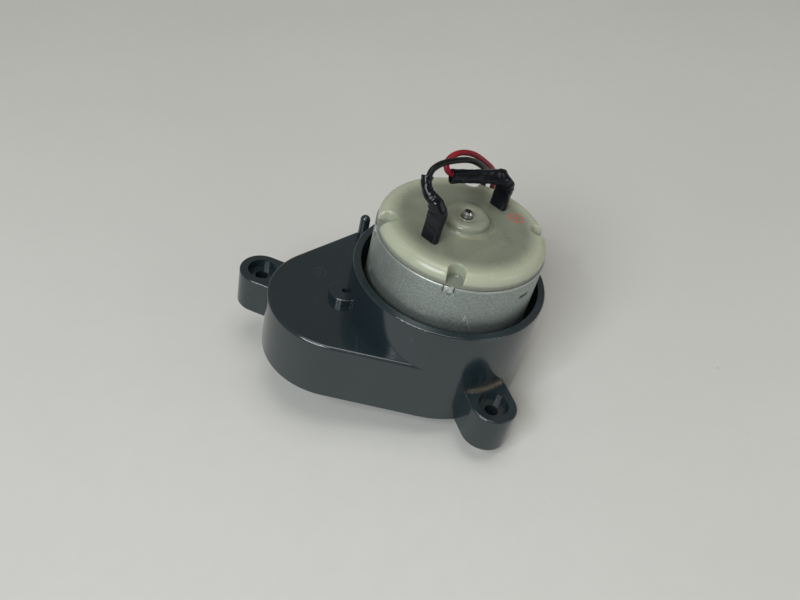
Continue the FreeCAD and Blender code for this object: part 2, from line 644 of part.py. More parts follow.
def motor_can():
    """Drawn steel can with its bearing boss and four crimps at the rim."""
    shell = rimmed("can_rim", cylinder("can_shell", "can_radius", "can_base", "can_top", MOTOR_AT),
                   val("can_top"), "can_round")
    boss = cylinder("can_boss", "can_boss_radius", "can_base - can_boss_drop", "can_base + 0.1",
                    MOTOR_AT)
    hollow = cylinder("can_hollow", "can_inner", "can_base + can_wall", "can_top + 1", MOTOR_AT)
    seat = cylinder("front_bearing_seat", "bearing_radius + press_gap", "front_bearing_base",
                    "can_base + can_wall + 0.5", MOTOR_AT)
    throat = cylinder("can_throat", "rotor_shaft_radius + 0.3", "can_base - 3", "can_base + 3",
                      MOTOR_AT)
    holes = [cylinder("can_screw_hole_%d" % number, "motor_screw_radius + screw_gap",
                      "can_base - 1", "can_base + can_wall + 0.2", at)
             for number, at in enumerate(motor_screw_places())]
    dents = [cylinder("crimp_%d" % number, "notch_width * 0.42", "can_top - 1.7", "can_top + 1",
                      polar(MOTOR_AT, "can_radius + notch_width * 0.42 - 0.35",
                            "notch_turn + %d" % turn))
             for number, turn in enumerate(NOTCH_TURNS)]
    cut("motor_can", fuse("can_solid", shell, boss), hollow, seat, throat, *holes, *dents)


def end_cap():
    """Moulded end cap with a bearing boss, four edge notches and two terminal slots."""
    rounded = rimmed("cap_rounded", cylinder("cap_disc", "cap_radius", "can_top", "cap_top",
                                             MOTOR_AT), val("cap_top"), "cap_round")
    skirt = cylinder("cap_skirt_disc", "can_inner - 0.1", "can_top - cap_skirt", "can_top + 0.2",
                     MOTOR_AT)
    boss = cylinder("cap_boss", "cap_boss_radius", "cap_top - 0.1", "cap_boss_top - 0.4", MOTOR_AT)
    boss_edge = cone("cap_boss_edge", "cap_boss_radius", "cap_boss_radius - 0.4",
                     "cap_boss_top - 0.4", "cap_boss_top", MOTOR_AT)
    flare = cone("cap_boss_foot", "cap_boss_radius + cap_boss_flare", "cap_boss_radius",
                 "cap_top - 0.1", "cap_top + cap_boss_flare", MOTOR_AT)
    cutters = [cylinder("cap_recess", "cap_recess_radius", "can_top - cap_skirt - 1", "cap_under",
                        MOTOR_AT),
               cylinder("cap_bore", "rotor_shaft_radius + 0.12", "can_top", "cap_boss_top + 1",
                        MOTOR_AT),
               cylinder("rear_bearing_seat", "bearing_radius + press_gap", "can_top",
                        "rear_bearing_base + bearing_length", MOTOR_AT)]
    for number, turn in enumerate(NOTCH_TURNS):
        reach = "cap_radius - notch_depth + notch_width / 2"
        cutters.append(cylinder("notch_end_%d" % number, "notch_width / 2", "can_top",
                                "cap_top + 1", polar(MOTOR_AT, reach, "notch_turn + %d" % turn)))
        cutters.append(turned_box("notch_side_%d" % number, "notch_depth", "notch_width",
                                  "can_top", "cap_top + 1", MOTOR_AT, reach,
                                  "notch_turn + %d" % turn))
    for number, turn in enumerate((0, 180)):
        cutters.append(turned_box("terminal_slot_%d" % number, "terminal_thickness + 0.1",
                                  "terminal_width + 0.1", "cap_under - 1", "cap_top + 1", MOTOR_AT,
                                  "terminal_circle - terminal_thickness / 2 - 0.05",
                                  "terminal_turn + %d" % turn))
    cut("motor_end_cap", fuse("cap_solid", rounded, skirt, boss, boss_edge, flare), *cutters)


def turned_box(name, long, wide, low, high, at, reach, turn):
    """Box whose inner face's middle lies at a reach and direction from an axis."""
    box = doc.addObject("Part::Box", name)
    bind(box, Length=long, Width=wide, Height="%s - ( %s )" % (high, low))
    box.Placement.Rotation = FreeCAD.Rotation(UP, 1)
    bind(box, Turn=turn, Base_z=low,
         Base_x="%s + ( %s ) * cos( %s ) + ( %s ) / 2 * sin( %s )" % (at[0], reach, turn, wide, turn),
         Base_y="%s + ( %s ) * sin( %s ) - ( %s ) / 2 * cos( %s )" % (at[1], reach, turn, wide, turn))
    return box


def motor_inside():
    """Field magnets, clip, bearings, rotor, commutator, brushes and terminals."""
    group("field_magnets", *[
        ring("magnet_%d" % number, "magnet_outer", "magnet_inner", "magnet_base",
             "magnet_base + magnet_height", MOTOR_AT, "magnet_arc",
             "%d - magnet_arc / 2" % turn) for number, turn in enumerate((0, 180))])
    ring("magnet_clip", "magnet_outer - 0.1", "magnet_outer - 0.7", "magnet_base",
         "magnet_base + magnet_height", MOTOR_AT, "180 - magnet_arc - 4",
         "magnet_arc / 2 + 2")
    ring("front_bearing", "bearing_radius", "rotor_shaft_radius + running_gap",
         "front_bearing_base", "front_bearing_base + bearing_length", MOTOR_AT)
    ring("rear_bearing", "bearing_radius", "rotor_shaft_radius + running_gap",
         "rear_bearing_base", "rear_bearing_base + bearing_length - 0.1", MOTOR_AT)
    group("thrust_washers", *[
        ring("washer_%d" % number, "rotor_shaft_radius + 1.0", "rotor_shaft_radius + press_gap",
             low, low + " + 0.3", MOTOR_AT)
        for number, low in enumerate(("front_bearing_base + bearing_length + 0.3",
                                      "rear_bearing_base - 0.6"))])
    shaft = cylinder("rotor_shaft_rod", "rotor_shaft_radius", "rotor_shaft_base",
                     "rotor_shaft_top - rotor_shaft_tip", MOTOR_AT)
    tip = cone("rotor_shaft_point", "rotor_shaft_radius", "rotor_shaft_radius - rotor_shaft_tip",
               "rotor_shaft_top - rotor_shaft_tip", "rotor_shaft_top", MOTOR_AT)
    fuse("motor_shaft", shaft, tip)
    rotor_core()
    ring("commutator_hub", "commutator_radius - 0.8", "rotor_shaft_radius + press_gap",
         "commutator_base", "commutator_top", MOTOR_AT)
    group("commutator_segments", *[
        ring("segment_%d" % number, "commutator_radius", "commutator_radius - 0.74",
             "commutator_base", "commutator_top", MOTOR_AT,
             "120 - commutator_slit / commutator_radius * 180 / pi",
             "%d + commutator_slit / commutator_radius * 90 / pi" % (120 * number + 60))
        for number in range(3)])
    brushes = []
    arms = []
    tabs = []
    for number, turn in enumerate((0, 180)):
        side = "terminal_turn + %d" % (turn + 90)
        brushes.append(turned_box("brush_%d" % number, "2.2", "1.6", "brush_level - 1.2",
                                  "brush_level + 1.2", MOTOR_AT, "commutator_radius + 0.05", side))
        tabs.append(turned_box("tab_%d" % number, "terminal_thickness", "terminal_width",
                               "brush_level - 1.3", "cap_top + terminal_rise", MOTOR_AT,
                               "terminal_circle - terminal_thickness / 2",
                               "terminal_turn + %d" % turn))
        arms.append(brush_arm("arm_%d" % number, val("terminal_turn") + turn))
    group("brushes", *brushes)
    group("terminals", *tabs)
    group("brush_arms", *arms)


def brush_arm(name, turn):
    """Leaf spring from a terminal's inner face to the back of its brush."""
    centre = Vector(val("motor_offset"), 0, 0)
    heading = Vector(math.cos(math.radians(turn)), math.sin(math.radians(turn)), 0)
    aside = Vector(-heading.y, heading.x, 0)
    start = centre + heading * (val("terminal_circle") - val("terminal_thickness") / 2 - 0.15)
    end = centre + aside * (val("commutator_radius") + 1.3) + heading * 0.9
    along = (end - start).normalize()
    across = Vector(-along.y, along.x, 0) * 0.1
    corners = [start + across, end + across, end - across, start - across, start + across]
    low = Vector(0, 0, val("brush_level") - 1.1)
    strip = Part.Face(Part.makePolygon([corner + low for corner in corners]))
    return shape_node(name, strip.extrude(Vector(0, 0, 2.2)))


def rotor_core():
    """Three-pole laminated core with a coil round each arm."""
    hub = cylinder("core_hub", "arm_width * 0.9", "rotor_base", "rotor_top", MOTOR_AT)
    pieces = [hub]
    coils = []
    for number in range(3):
        turn = "%d" % (120 * number)
        pieces.append(turned_box("arm_core_%d" % number, "shoe_inner + 0.3", "arm_width",
                                 "rotor_base", "rotor_top", MOTOR_AT, "0", turn))
        pieces.append(ring("shoe_%d" % number, "rotor_radius", "shoe_inner", "rotor_base",
                           "rotor_top", MOTOR_AT, "pole_arc", turn + " - pole_arc / 2"))
        block = turned_box("coil_block_%d" % number, "coil_outer - coil_inner",
                           "2 * coil_half", "coil_base", "coil_top", MOTOR_AT, "coil_inner", turn)
        slot = turned_box("coil_slot_%d" % number, "rotor_radius", "arm_width + 0.1",
                          "rotor_base - 0.05", "rotor_top + 0.05", MOTOR_AT, "0", turn)
        coils.append(cut("coil_%d" % number, block, slot))
    bored("rotor_core", fuse("core_solid", *pieces), "rotor_shaft_radius + press_gap",
          "rotor_base", "rotor_top", MOTOR_AT)
    group("rotor_windings", *coils)


# ---------------------------------------------------------------- leads

# Routes chosen by hand: from inside each sleeve over the end cap's back to the plug.
BLACK_ROUTE = [(9.6, -4.3, 41.2), (9.5, -2.5, 43.9), (11.6, -0.6, 44.9), (14.8, 1.9, 44.4),
               (18.6, 5.2, 43.0), (22.0, 8.2, 40.2), (24.6, 11.6, 37.0), (26.0, 15.4, 33.8),
               (26.6, 18.4, 29.0), (27.2, 21.4, 23.2), (28.2, 26.0, 17.2), (29.6, 31.8, 11.4),
               (31.0, 37.2, 6.4)]
RED_ROUTE = [(19.3, 4.9, 39.6), (15.2, 4.1, 39.7), (14.0, 5.2, 41.8), (16.4, 7.5, 42.8),
             (20.2, 9.9, 41.6), (23.6, 12.6, 38.6), (27.0, 15.0, 35.4), (28.6, 17.6, 30.4),
             (29.4, 20.8, 24.8), (30.6, 25.0, 18.6), (32.0, 30.4, 12.8), (33.4, 36.2, 7.8)]
# Normal of the table that the part leans on: shaft tip, cup edge and back ear touch it.
REST_NORMAL = Vector(-0.198, -0.064, 0.978)
PLUG_ENTRY = Vector(33.0, 42.5, 3.85)


def tube_path(points):
    """Straight runs joined by tangent arcs, each as large as its two runs allow."""
    points = [Vector(*point) for point in points]
    edges = []
    radii = []
    last = points[0]
    for before, corner, after in zip(points, points[1:], points[2:]):
        into = (corner - before).normalize()
        out = (after - corner).normalize()
        half_turn = into.getAngle(out) / 2
        reach = 0.45 * min((corner - before).Length, (after - corner).Length)
        radii.append(reach / math.tan(half_turn))
        start = corner - into * reach
        end = corner + out * reach
        inward = (out - into).normalize()
        middle = corner + inward * (radii[-1] / math.cos(half_turn) - radii[-1])
        edges.append(Part.makeLine(last, start))
        edges.append(Part.Arc(start, middle, end).toShape())
        last = end
    edges.append(Part.makeLine(last, points[-1]))
    return Part.Wire(edges), radii


def swept(path, radius):
    """Round tube solid along a path."""
    start = path.Edges[0].valueAt(path.Edges[0].FirstParameter)
    heading = path.Edges[0].tangentAt(path.Edges[0].FirstParameter)
    circle = Part.Wire([Part.Circle(start, heading, radius).toShape()])
    return path.makePipeShell([circle], True, False)


def lead(name, route, side):
    """Insulated wire from its sleeve to the plug's entry at one side."""
    entry = plug_place().multVec(Vector(side * val("plug_pitch") / 2, 0, 0))
    inside = plug_place().multVec(Vector(side * val("plug_pitch") / 2, 2.4, 0))
    path, radii = tube_path(route + [tuple(entry), tuple(inside)])
    tube = swept(path, val("lead_radius"))
    share = tube.Volume / (math.pi * val("lead_radius") ** 2 * path.Length)
    print("%s length %.1f, volume share %.4f, radii %s"
          % (name, path.Length, share, [round(radius, 1) for radius in radii]))
    print("  last points", [[round(number, 2) for number in point] for point in (entry, inside)])
    shape_node(name, tube)
    return path


def plug_place():
    """The plug lies flat on the table, its entry face towards the motor."""
    return FreeCAD.Placement(PLUG_ENTRY, FreeCAD.Rotation(UP, REST_NORMAL))


def plug():
    """Two-way plug housing with a contact in each socket."""
    wide, long, tall = val("plug_width"), val("plug_length"), val("plug_height")
    block = Part.makeBox(wide, long, tall, Vector(-wide / 2, 0, -tall / 2))
    contacts = []
    for side in (-1, 1):
        middle = side * val("plug_pitch") / 2
        entry = Part.makeCylinder(val("lead_radius") + 0.12, 2.5, Vector(middle, -0.1, 0),
                                  Vector(0, 1, 0))
        socket = Part.makeBox(1.5, long, 1.5, Vector(middle - 0.75, 2.3, -0.75))
        block = block.cut(entry).cut(socket)
        contacts.append(Part.makeBox(1.3, val("contact_length"), 1.3,
                                     Vector(middle - 0.65, 2.45, -0.65)))
    keys = Part.makeBox(wide * 0.5, long * 0.6, 0.5, Vector(-wide / 4, 1.0, tall / 2))
    for name, shape in (("plug_housing", block.fuse(keys)),
                        ("plug_contacts", Part.makeCompound(contacts))):
        piece = doc.addObject("Part::Feature", name)
        piece.Shape = shape
        piece.Placement = plug_place()


def sleeve(name, terminal_angle, fold_level, mouth, path):
    """Shrink sleeve: flat over its terminal, then round over the lead to its mouth."""
    turn = math.radians(terminal_angle)
    heading = Vector(math.cos(turn), math.sin(turn), 0)
    foot = Vector(val("motor_offset"), 0, val("cap_top") + 0.1) + heading * val("terminal_circle")
    wide, deep = val("sleeve_width"), val("sleeve_depth")
    tall = fold_level - foot.z
    flat = Part.makeBox(deep, wide, tall, Vector(-deep / 2, -wide / 2, 0))
    flat = flat.makeFillet(deep * 0.45, [edge for edge in flat.Edges
                                         if edge.BoundBox.ZLength > tall / 2])
    tab = Part.makeBox(val("terminal_thickness") + 0.06, val("terminal_width") + 0.06,
                       val("terminal_rise") + 0.2,
                       Vector(-val("terminal_thickness") / 2 - 0.03,
                              -val("terminal_width") / 2 - 0.03, -0.2))
    for solid in (flat, tab):
        solid.Placement = FreeCAD.Placement(foot, FreeCAD.Rotation(UP, terminal_angle))
    bend = Vector(foot.x, foot.y, fold_level - 0.9)
    sleeve_radius = val("lead_radius") + 0.06 + val("sleeve_wall")
    spine = Part.Wire([Part.makeLine(bend, Vector(*mouth))])
    round_part = swept(spine, sleeve_radius)
    ball = Part.makeSphere(sleeve_radius, bend)
    bore = swept(path, val("lead_radius") + 0.03)
    shape_node(name, flat.fuse([round_part, ball]).cut([tab, bore]).removeSplitter())


def leads_and_plug():
    """Both leads, their sleeves and the plug they end in."""
    black = lead("negative_lead", BLACK_ROUTE, -1)
    red = lead("positive_lead", RED_ROUTE, 1)
    sleeve("negative_sleeve", val("terminal_turn") + 180, 40.6, (9.5, -2.8, 43.4), black)
    sleeve("positive_sleeve", val("terminal_turn"), 40.3, (15.6, 4.2, 39.7), red)
    plug()


NODES = ["gear_case", "bottom_cover", "cover_screws", "motor_screws", "lower_bush", "upper_bush",
         "first_axle", "second_axle", "output_washer", "motor_can", "motor_end_cap",
         "field_magnets", "magnet_clip", "front_bearing", "rear_bearing", "brushes", "brush_arms",
         "terminals", "negative_sleeve", "positive_sleeve", "negative_lead", "positive_lead",
         "plug_housing", "plug_contacts", "motor_shaft", "rotor_core", "rotor_windings",
         "commutator_hub", "commutator_segments", "thrust_washers", "motor_pinion", "first_gear",
         "second_gear", "output_gear", "output_shaft"]


def build():
    """Make every sub-part."""
    gear_case()
    bottom_cover()
    group("cover_screws", *[screw("cover_screw_%d" % number, at)
                            for number, at in enumerate(post_places())])
    group("motor_screws", *[motor_screw("motor_screw_%d" % number, at)
                            for number, at in enumerate(motor_screw_places())])
    bush("lower_bush", "0.05", "cover_thickness")
    bush("upper_bush", "upper_bush_base", "journal_top - 0.05")
    axle("first_axle", FIRST_AT, "axle_top - 0.05")
    axle("second_axle", SECOND_AT, "axle_top - 0.05")
    ring("output_washer", "bush_radius", "journal_radius + press_gap", "cover_thickness + 0.05",
         "output_wheel_base - 0.05")
    gear_train()
    output_shaft()
    motor_can()
    end_cap()
    motor_inside()
    leads_and_plug()


def export():
    """Check every object, then write each sub-part's shape."""
    doc.recompute()
    failed = [thing.Name for thing in doc.Objects
              if "Invalid" in thing.State or "Error" in thing.State]
    if failed:
        raise RuntimeError("failed objects: %s" % failed)
    for name in NODES:
        piece = doc.getObject(name)
        piece.Label = name
        shape = piece.Shape
        if shape.isNull() or not shape.isValid() or not shape.Solids:
            raise RuntimeError("bad shape: " + name)
        print("%-22s solids %d volume %.2f" % (name, len(shape.Solids), shape.Volume))
        shape.exportStep("parts/%s.step" % name)


build()
export()
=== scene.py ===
import math

import bpy
import numpy as np
from mathutils import Matrix, Vector


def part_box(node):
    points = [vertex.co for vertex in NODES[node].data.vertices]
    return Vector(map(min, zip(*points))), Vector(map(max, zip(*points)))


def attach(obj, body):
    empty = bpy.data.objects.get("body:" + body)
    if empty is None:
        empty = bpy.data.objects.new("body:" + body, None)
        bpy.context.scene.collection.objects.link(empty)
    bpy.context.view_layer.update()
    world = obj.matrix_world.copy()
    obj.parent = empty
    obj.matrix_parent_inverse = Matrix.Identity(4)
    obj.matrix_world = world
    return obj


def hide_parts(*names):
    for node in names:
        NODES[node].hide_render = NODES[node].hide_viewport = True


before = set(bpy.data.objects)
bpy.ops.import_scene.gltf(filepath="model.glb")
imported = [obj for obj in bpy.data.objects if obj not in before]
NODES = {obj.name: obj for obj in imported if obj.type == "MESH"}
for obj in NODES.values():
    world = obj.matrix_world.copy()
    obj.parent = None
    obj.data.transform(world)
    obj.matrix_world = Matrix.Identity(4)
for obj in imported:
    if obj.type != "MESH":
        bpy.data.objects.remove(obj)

bl_info = {
    "name": "Flat gearmotor",
    "version": (1, 0, 0),
    "blender": (4, 5, 0),
    "location": "View3D > Sidebar > Gearmotor",
    "description": "Surfaces and finishes of a flat DC motor on an offset reduction gearbox",
    "category": "Object",
}

MM = 0.001
# The motor's axis, and the level and radius of its end cap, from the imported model.
CAP_LOW, CAP_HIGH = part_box("motor_end_cap")
CAN_LOW, CAN_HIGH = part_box("motor_can")
AXIS_X = (CAN_LOW[0] + CAN_HIGH[0]) / 2
AXIS_Y = (CAN_LOW[1] + CAN_HIGH[1]) / 2
CAP_RADIUS = (CAP_HIGH[0] - CAP_LOW[0]) / 2
RIM = CAN_HIGH[2]
# Headings of the end cap's edge notches about the motor's axis, in degrees, and how far the
# can's crimps sit round from them.
NOTCH_TURNS = (0, 76, 182, 256)
CRIMP_TURN = -2.4
# The end cap's boss over its top, the levels of the case's roof and of its ears' tops, and the
# middle of the front ear, in millimetres.
BOSS_RISE = 1.7
ROOF_LEVEL = 12.7
EAR_LEVEL = 7.9
FRONT_EAR = (27.8, -21.05)
# Normal of the table that the part leans on, tilted by the output shaft under it. The level
# clears the case's web by the back ear, its lowest point on that slope.
TABLE_NORMAL = Vector((-0.198, -0.064, 0.978)).normalized()
TABLE_LEVEL = -7.815 * MM
# The camera: its lens, its place in millimetres, and the ways to its right and ahead.
FOCAL_LENGTH = 35.74
SENSOR_WIDTH = 36.0
CAMERA_PLACE = Vector((-19.542, -114.603, 113.722))
CAMERA_RIGHT = Vector((0.97704171, -0.09169193, 0.19230729))
CAMERA_AHEAD = Vector((0.19654311, 0.73628017, -0.64750468))
# Each lamp's name, place and diameter in metres, power in watts, and tint. The two panes are
# small and bright, for the thin highlights on round edges.
LAMPS = (
    ("window", (-0.32, -0.38, 0.34), 0.34, 2.15, (0.93, 0.98, 1.0)),
    ("ceiling", (-0.05, -0.05, 0.85), 0.55, 2.1, (1.0, 0.985, 0.95)),
    ("room", (0.70, -0.30, 0.45), 0.50, 0.7, (1.0, 0.97, 0.92)),
    ("pane_left", (-0.42, -0.30, 0.50), 0.030, 0.22, (1.0, 1.0, 1.0)),
    ("pane_right", (-0.22, -0.42, 0.46), 0.030, 0.22, (1.0, 1.0, 1.0)),
)
ROOM_TINT = (1.0, 0.96, 0.87, 1.0)
ROOM_STRENGTH = 0.20


# ---------------------------------------------------------------- sizes and colours

class MotorSizes(bpy.types.PropertyGroup):
    """Sizes that a user may change."""
    wire: bpy.props.FloatProperty(
        name="Wire diameter", description="Diameter of each lead's insulation",
        default=1.1 * MM, min=0.4 * MM, unit="LENGTH", precision=5)
    cap_shoulder: bpy.props.FloatProperty(
        name="Cap shoulder", description="Radius of the end cap's rounded outer edge",
        default=1.9 * MM, min=0.3 * MM, max=2.4 * MM, unit="LENGTH", precision=5)
    notch_width: bpy.props.FloatProperty(
        name="Notch width", description="Width of each notch in the end cap's edge",
        default=3.1 * MM, min=1 * MM, unit="LENGTH", precision=5)
    notch_depth: bpy.props.FloatProperty(
        name="Notch depth", description="How far each notch runs in from the edge",
        default=3.0 * MM, min=1 * MM, unit="LENGTH", precision=5)
    wrinkle: bpy.props.FloatProperty(
        name="Sleeve wrinkles", description="Height of the shrink sleeves' wrinkles",
        default=0.024 * MM, min=0, unit="LENGTH", precision=5)
    table: bpy.props.FloatProperty(
        name="Table half width", description="Half the width of the table top",
        default=2.5, min=0.3, unit="LENGTH")


def colour(name, description, default):
    """Colour property in linear light."""
    return bpy.props.FloatVectorProperty(
        name=name, description=description, default=default, subtype="COLOR", size=3,
        min=0, max=1)


class MotorColours(bpy.types.PropertyGroup):
    """Colours that a user may change."""
    housing: colour("Housing", "Slate grey moulded housing", (0.0120, 0.0210, 0.0255))
    cover: colour("Cover", "Satin bottom cover", (0.019, 0.025, 0.027))
    can: colour("Can", "Zinc plated motor can", (0.34, 0.385, 0.370))
    # The rim colour holds a painted highlight of the rounded shoulder.
    cap: colour("End cap", "Milky end cap at its rim", (0.40, 0.425, 0.325))
    # The middle colour is painted shade, partly the dark motor seen through the cap.
    cap_shaded_middle: colour("End cap middle", "End cap over the dark motor", (0.168, 0.185, 0.142))
    # The blue in this black is a painted sheen.
    sleeve: colour("Sleeve", "Black shrink sleeve", (0.0040, 0.0050, 0.0080))
    red_wire: colour("Red wire", "Positive lead's insulation", (0.24, 0.009, 0.022))
    black_wire: colour("Black wire", "Negative lead's insulation", (0.0030, 0.0032, 0.0042))
    steel: colour("Steel", "Ground steel of shafts and axles", (0.56, 0.57, 0.58))
    gear: colour("Gears", "Natural white acetal", (0.74, 0.73, 0.66))
    plug: colour("Plug", "Natural nylon plug", (0.70, 0.68, 0.60))
    table: colour("Table", "Pale table top", (0.60, 0.60, 0.58))


# ---------------------------------------------------------------- shader expressions

class Field:
    """A shader socket that Python's operators extend with Math nodes."""

    def __init__(self, finish, socket):
        self.finish = finish
        self.socket = socket

    def math(self, operation, other=None, first=False):
        """Math node of this value and another one, which may come first."""
        values = [self] if other is None else [other, self] if first else [self, other]
        return self.finish.node("ShaderNodeMath", {"operation": operation},
                                dict(enumerate(values)))

    def __add__(self, other):
        return self.math("ADD", other)

    __radd__ = __add__

    def __sub__(self, other):
        return self.math("SUBTRACT", other)

    def __rsub__(self, other):
        return self.math("SUBTRACT", other, first=True)

    def __mul__(self, other):
        return self.math("MULTIPLY", other)

    __rmul__ = __mul__

    def __truediv__(self, other):
        return self.math("DIVIDE", other)

    def __pow__(self, other):
        return self.math("POWER", other)

    def __abs__(self):
        return self.math("ABSOLUTE")

    def step(self, low, high):
        """Smooth step: 0 at low, 1 at high, and level at both."""
        return self.finish.node(
            "ShaderNodeMapRange", {"interpolation_type": "SMOOTHSTEP"},
            {"Value": self, "From Min": low, "From Max": high})


class Finish:
    """A material and the nodes that make it; constants go straight on the shader."""

    def __init__(self, name, **constants):
        self.material = bpy.data.materials.new(name)
        self.material.use_nodes = True
        self.tree = self.material.node_tree
        self.tree.nodes.clear()
        end = self.tree.nodes.new("ShaderNodeOutputMaterial")
        self.shader = self.tree.nodes.new("ShaderNodeBsdfPrincipled")
        self.tree.links.new(self.shader.outputs[0], end.inputs[0])
        for socket, value in constants.items():
            self.shader.inputs[socket.replace("_", " ")].default_value = value
        self.place = self.node("ShaderNodeTexCoord", output="Object")
        split = self.node("ShaderNodeSeparateXYZ", inputs={0: self.place}).socket.node
        self.x, self.y, self.z = [Field(self, split.outputs[axis]) for axis in "XYZ"]

    def feed(self, socket, value):
        """Put a number, a colour or a field on a socket."""
        if isinstance(value, Field):
            self.tree.links.new(value.socket, socket)
        elif isinstance(value, (int, float)):
            socket.default_value = value
        else:
            value = list(value)
            socket.default_value = value + [1.0] * (len(socket.default_value) - len(value))

    def node(self, kind, settings=None, inputs=None, output=0):
        """Any node: its settings first, then its sockets, then the output wanted."""
        made = self.tree.nodes.new(kind)
        for name, value in (settings or {}).items():
            setattr(made, name, value)
        for name, value in (inputs or {}).items():
            self.feed(made.inputs[name], value)
        return Field(self, made.outputs[output])

    def mix(self, share, first, second):
        """Colour between two others."""
        return self.node("ShaderNodeMix", {"data_type": "RGBA"},
                         {0: share, 6: first, 7: second}, output=2)

    def stretched(self, scale, turn=(0, 0, 0)):
        """Object coordinates turned, then scaled along each axis."""
        turned = self.node("ShaderNodeMapping", inputs={0: self.place, "Rotation": turn})
        return self.node("ShaderNodeVectorMath", {"operation": "MULTIPLY"},
                         {0: turned, 1: scale})

    def cloud(self, per_metre, detail=3.0, rough=0.55, vector=None, distortion=0.0):
        """Noise between 0 and 1 with so many features to a metre."""
        return self.node("ShaderNodeTexNoise", inputs={
            "Vector": vector or self.place, "Scale": 1.0 if vector else per_metre,
            "Detail": detail, "Roughness": rough, "Distortion": distortion})

    def specks(self, per_metre, size):
        """Small round spots, one at most in each cell, of a size as a share of a cell."""
        near = self.node("ShaderNodeTexVoronoi", inputs={"Vector": self.place,
                                                         "Scale": per_metre})
        return 1 - near.step(size * 0.5, size)

    def scratches(self, long, fine, turn, width=0.012, share=0.60):
        """Thin streaks where stretched noise crosses its middle, in patches."""
        streak = self.cloud(1, 1.0, 0.4, self.stretched((long, fine, long), turn))
        line = 1 - abs(streak - 0.5).step(0.0, width)
        return line * self.cloud(130, 2.0).step(share, share + 0.12)

    def spot(self, x, y, z, radius, soft):
        """1 inside a ball of a radius round a point in millimetres, fading over soft."""
        away = self.node("ShaderNodeVectorMath", {"operation": "DISTANCE"},
                         {0: self.place, 1: (x * MM, y * MM, z * MM)}, output="Value")
        return 1 - away.step(radius * MM, (radius + soft) * MM)

    def patch(self, heading, level, across, up, soft=0.15):
        """1 on a rectangle of the motor's wall, by half sizes in millimetres."""
        turn = math.radians(heading)
        east, north = (self.x - AXIS_X) / MM, (self.y - AXIS_Y) / MM
        aside = north * math.cos(turn) - east * math.sin(turn)
        outward = east * math.cos(turn) + north * math.sin(turn)
        return ((1 - abs(aside).step(across, across + soft)) * outward.step(0.0, 1.0)
                * (1 - abs(self.z / MM - level).step(up, up + soft)))

    def reach(self, x, y):
        """Distance in millimetres from an upright line."""
        across = (self.x - x * MM) ** 2 + (self.y - y * MM) ** 2
        return across ** 0.5 / MM

    def bump(self, height, distance, strength=1.0):
        """Let a height between 0 and 1 tilt the shader's normal."""
        self.surface(Normal=self.node("ShaderNodeBump", inputs={
            "Height": height, "Distance": distance, "Strength": strength}))

    def surface(self, **sockets):
        """Link fields to the shader's own sockets."""
        for name, value in sockets.items():
            self.feed(self.shader.inputs[name.replace("_", " ")], value)

    def on(self, *pieces):
        """Put the finish on pieces, by object or by node name."""
        for piece in pieces:
            piece = NODES[piece] if isinstance(piece, str) else piece
            if not piece.material_slots:
                piece.data.materials.append(self.material)
            for slot in piece.material_slots:
                slot.material = self.material
        return self


def shade(tint, factor):
    """Colour made lighter or darker by a factor."""
    return [min(1.0, part * factor) for part in tint]


# ---------------------------------------------------------------- finishes

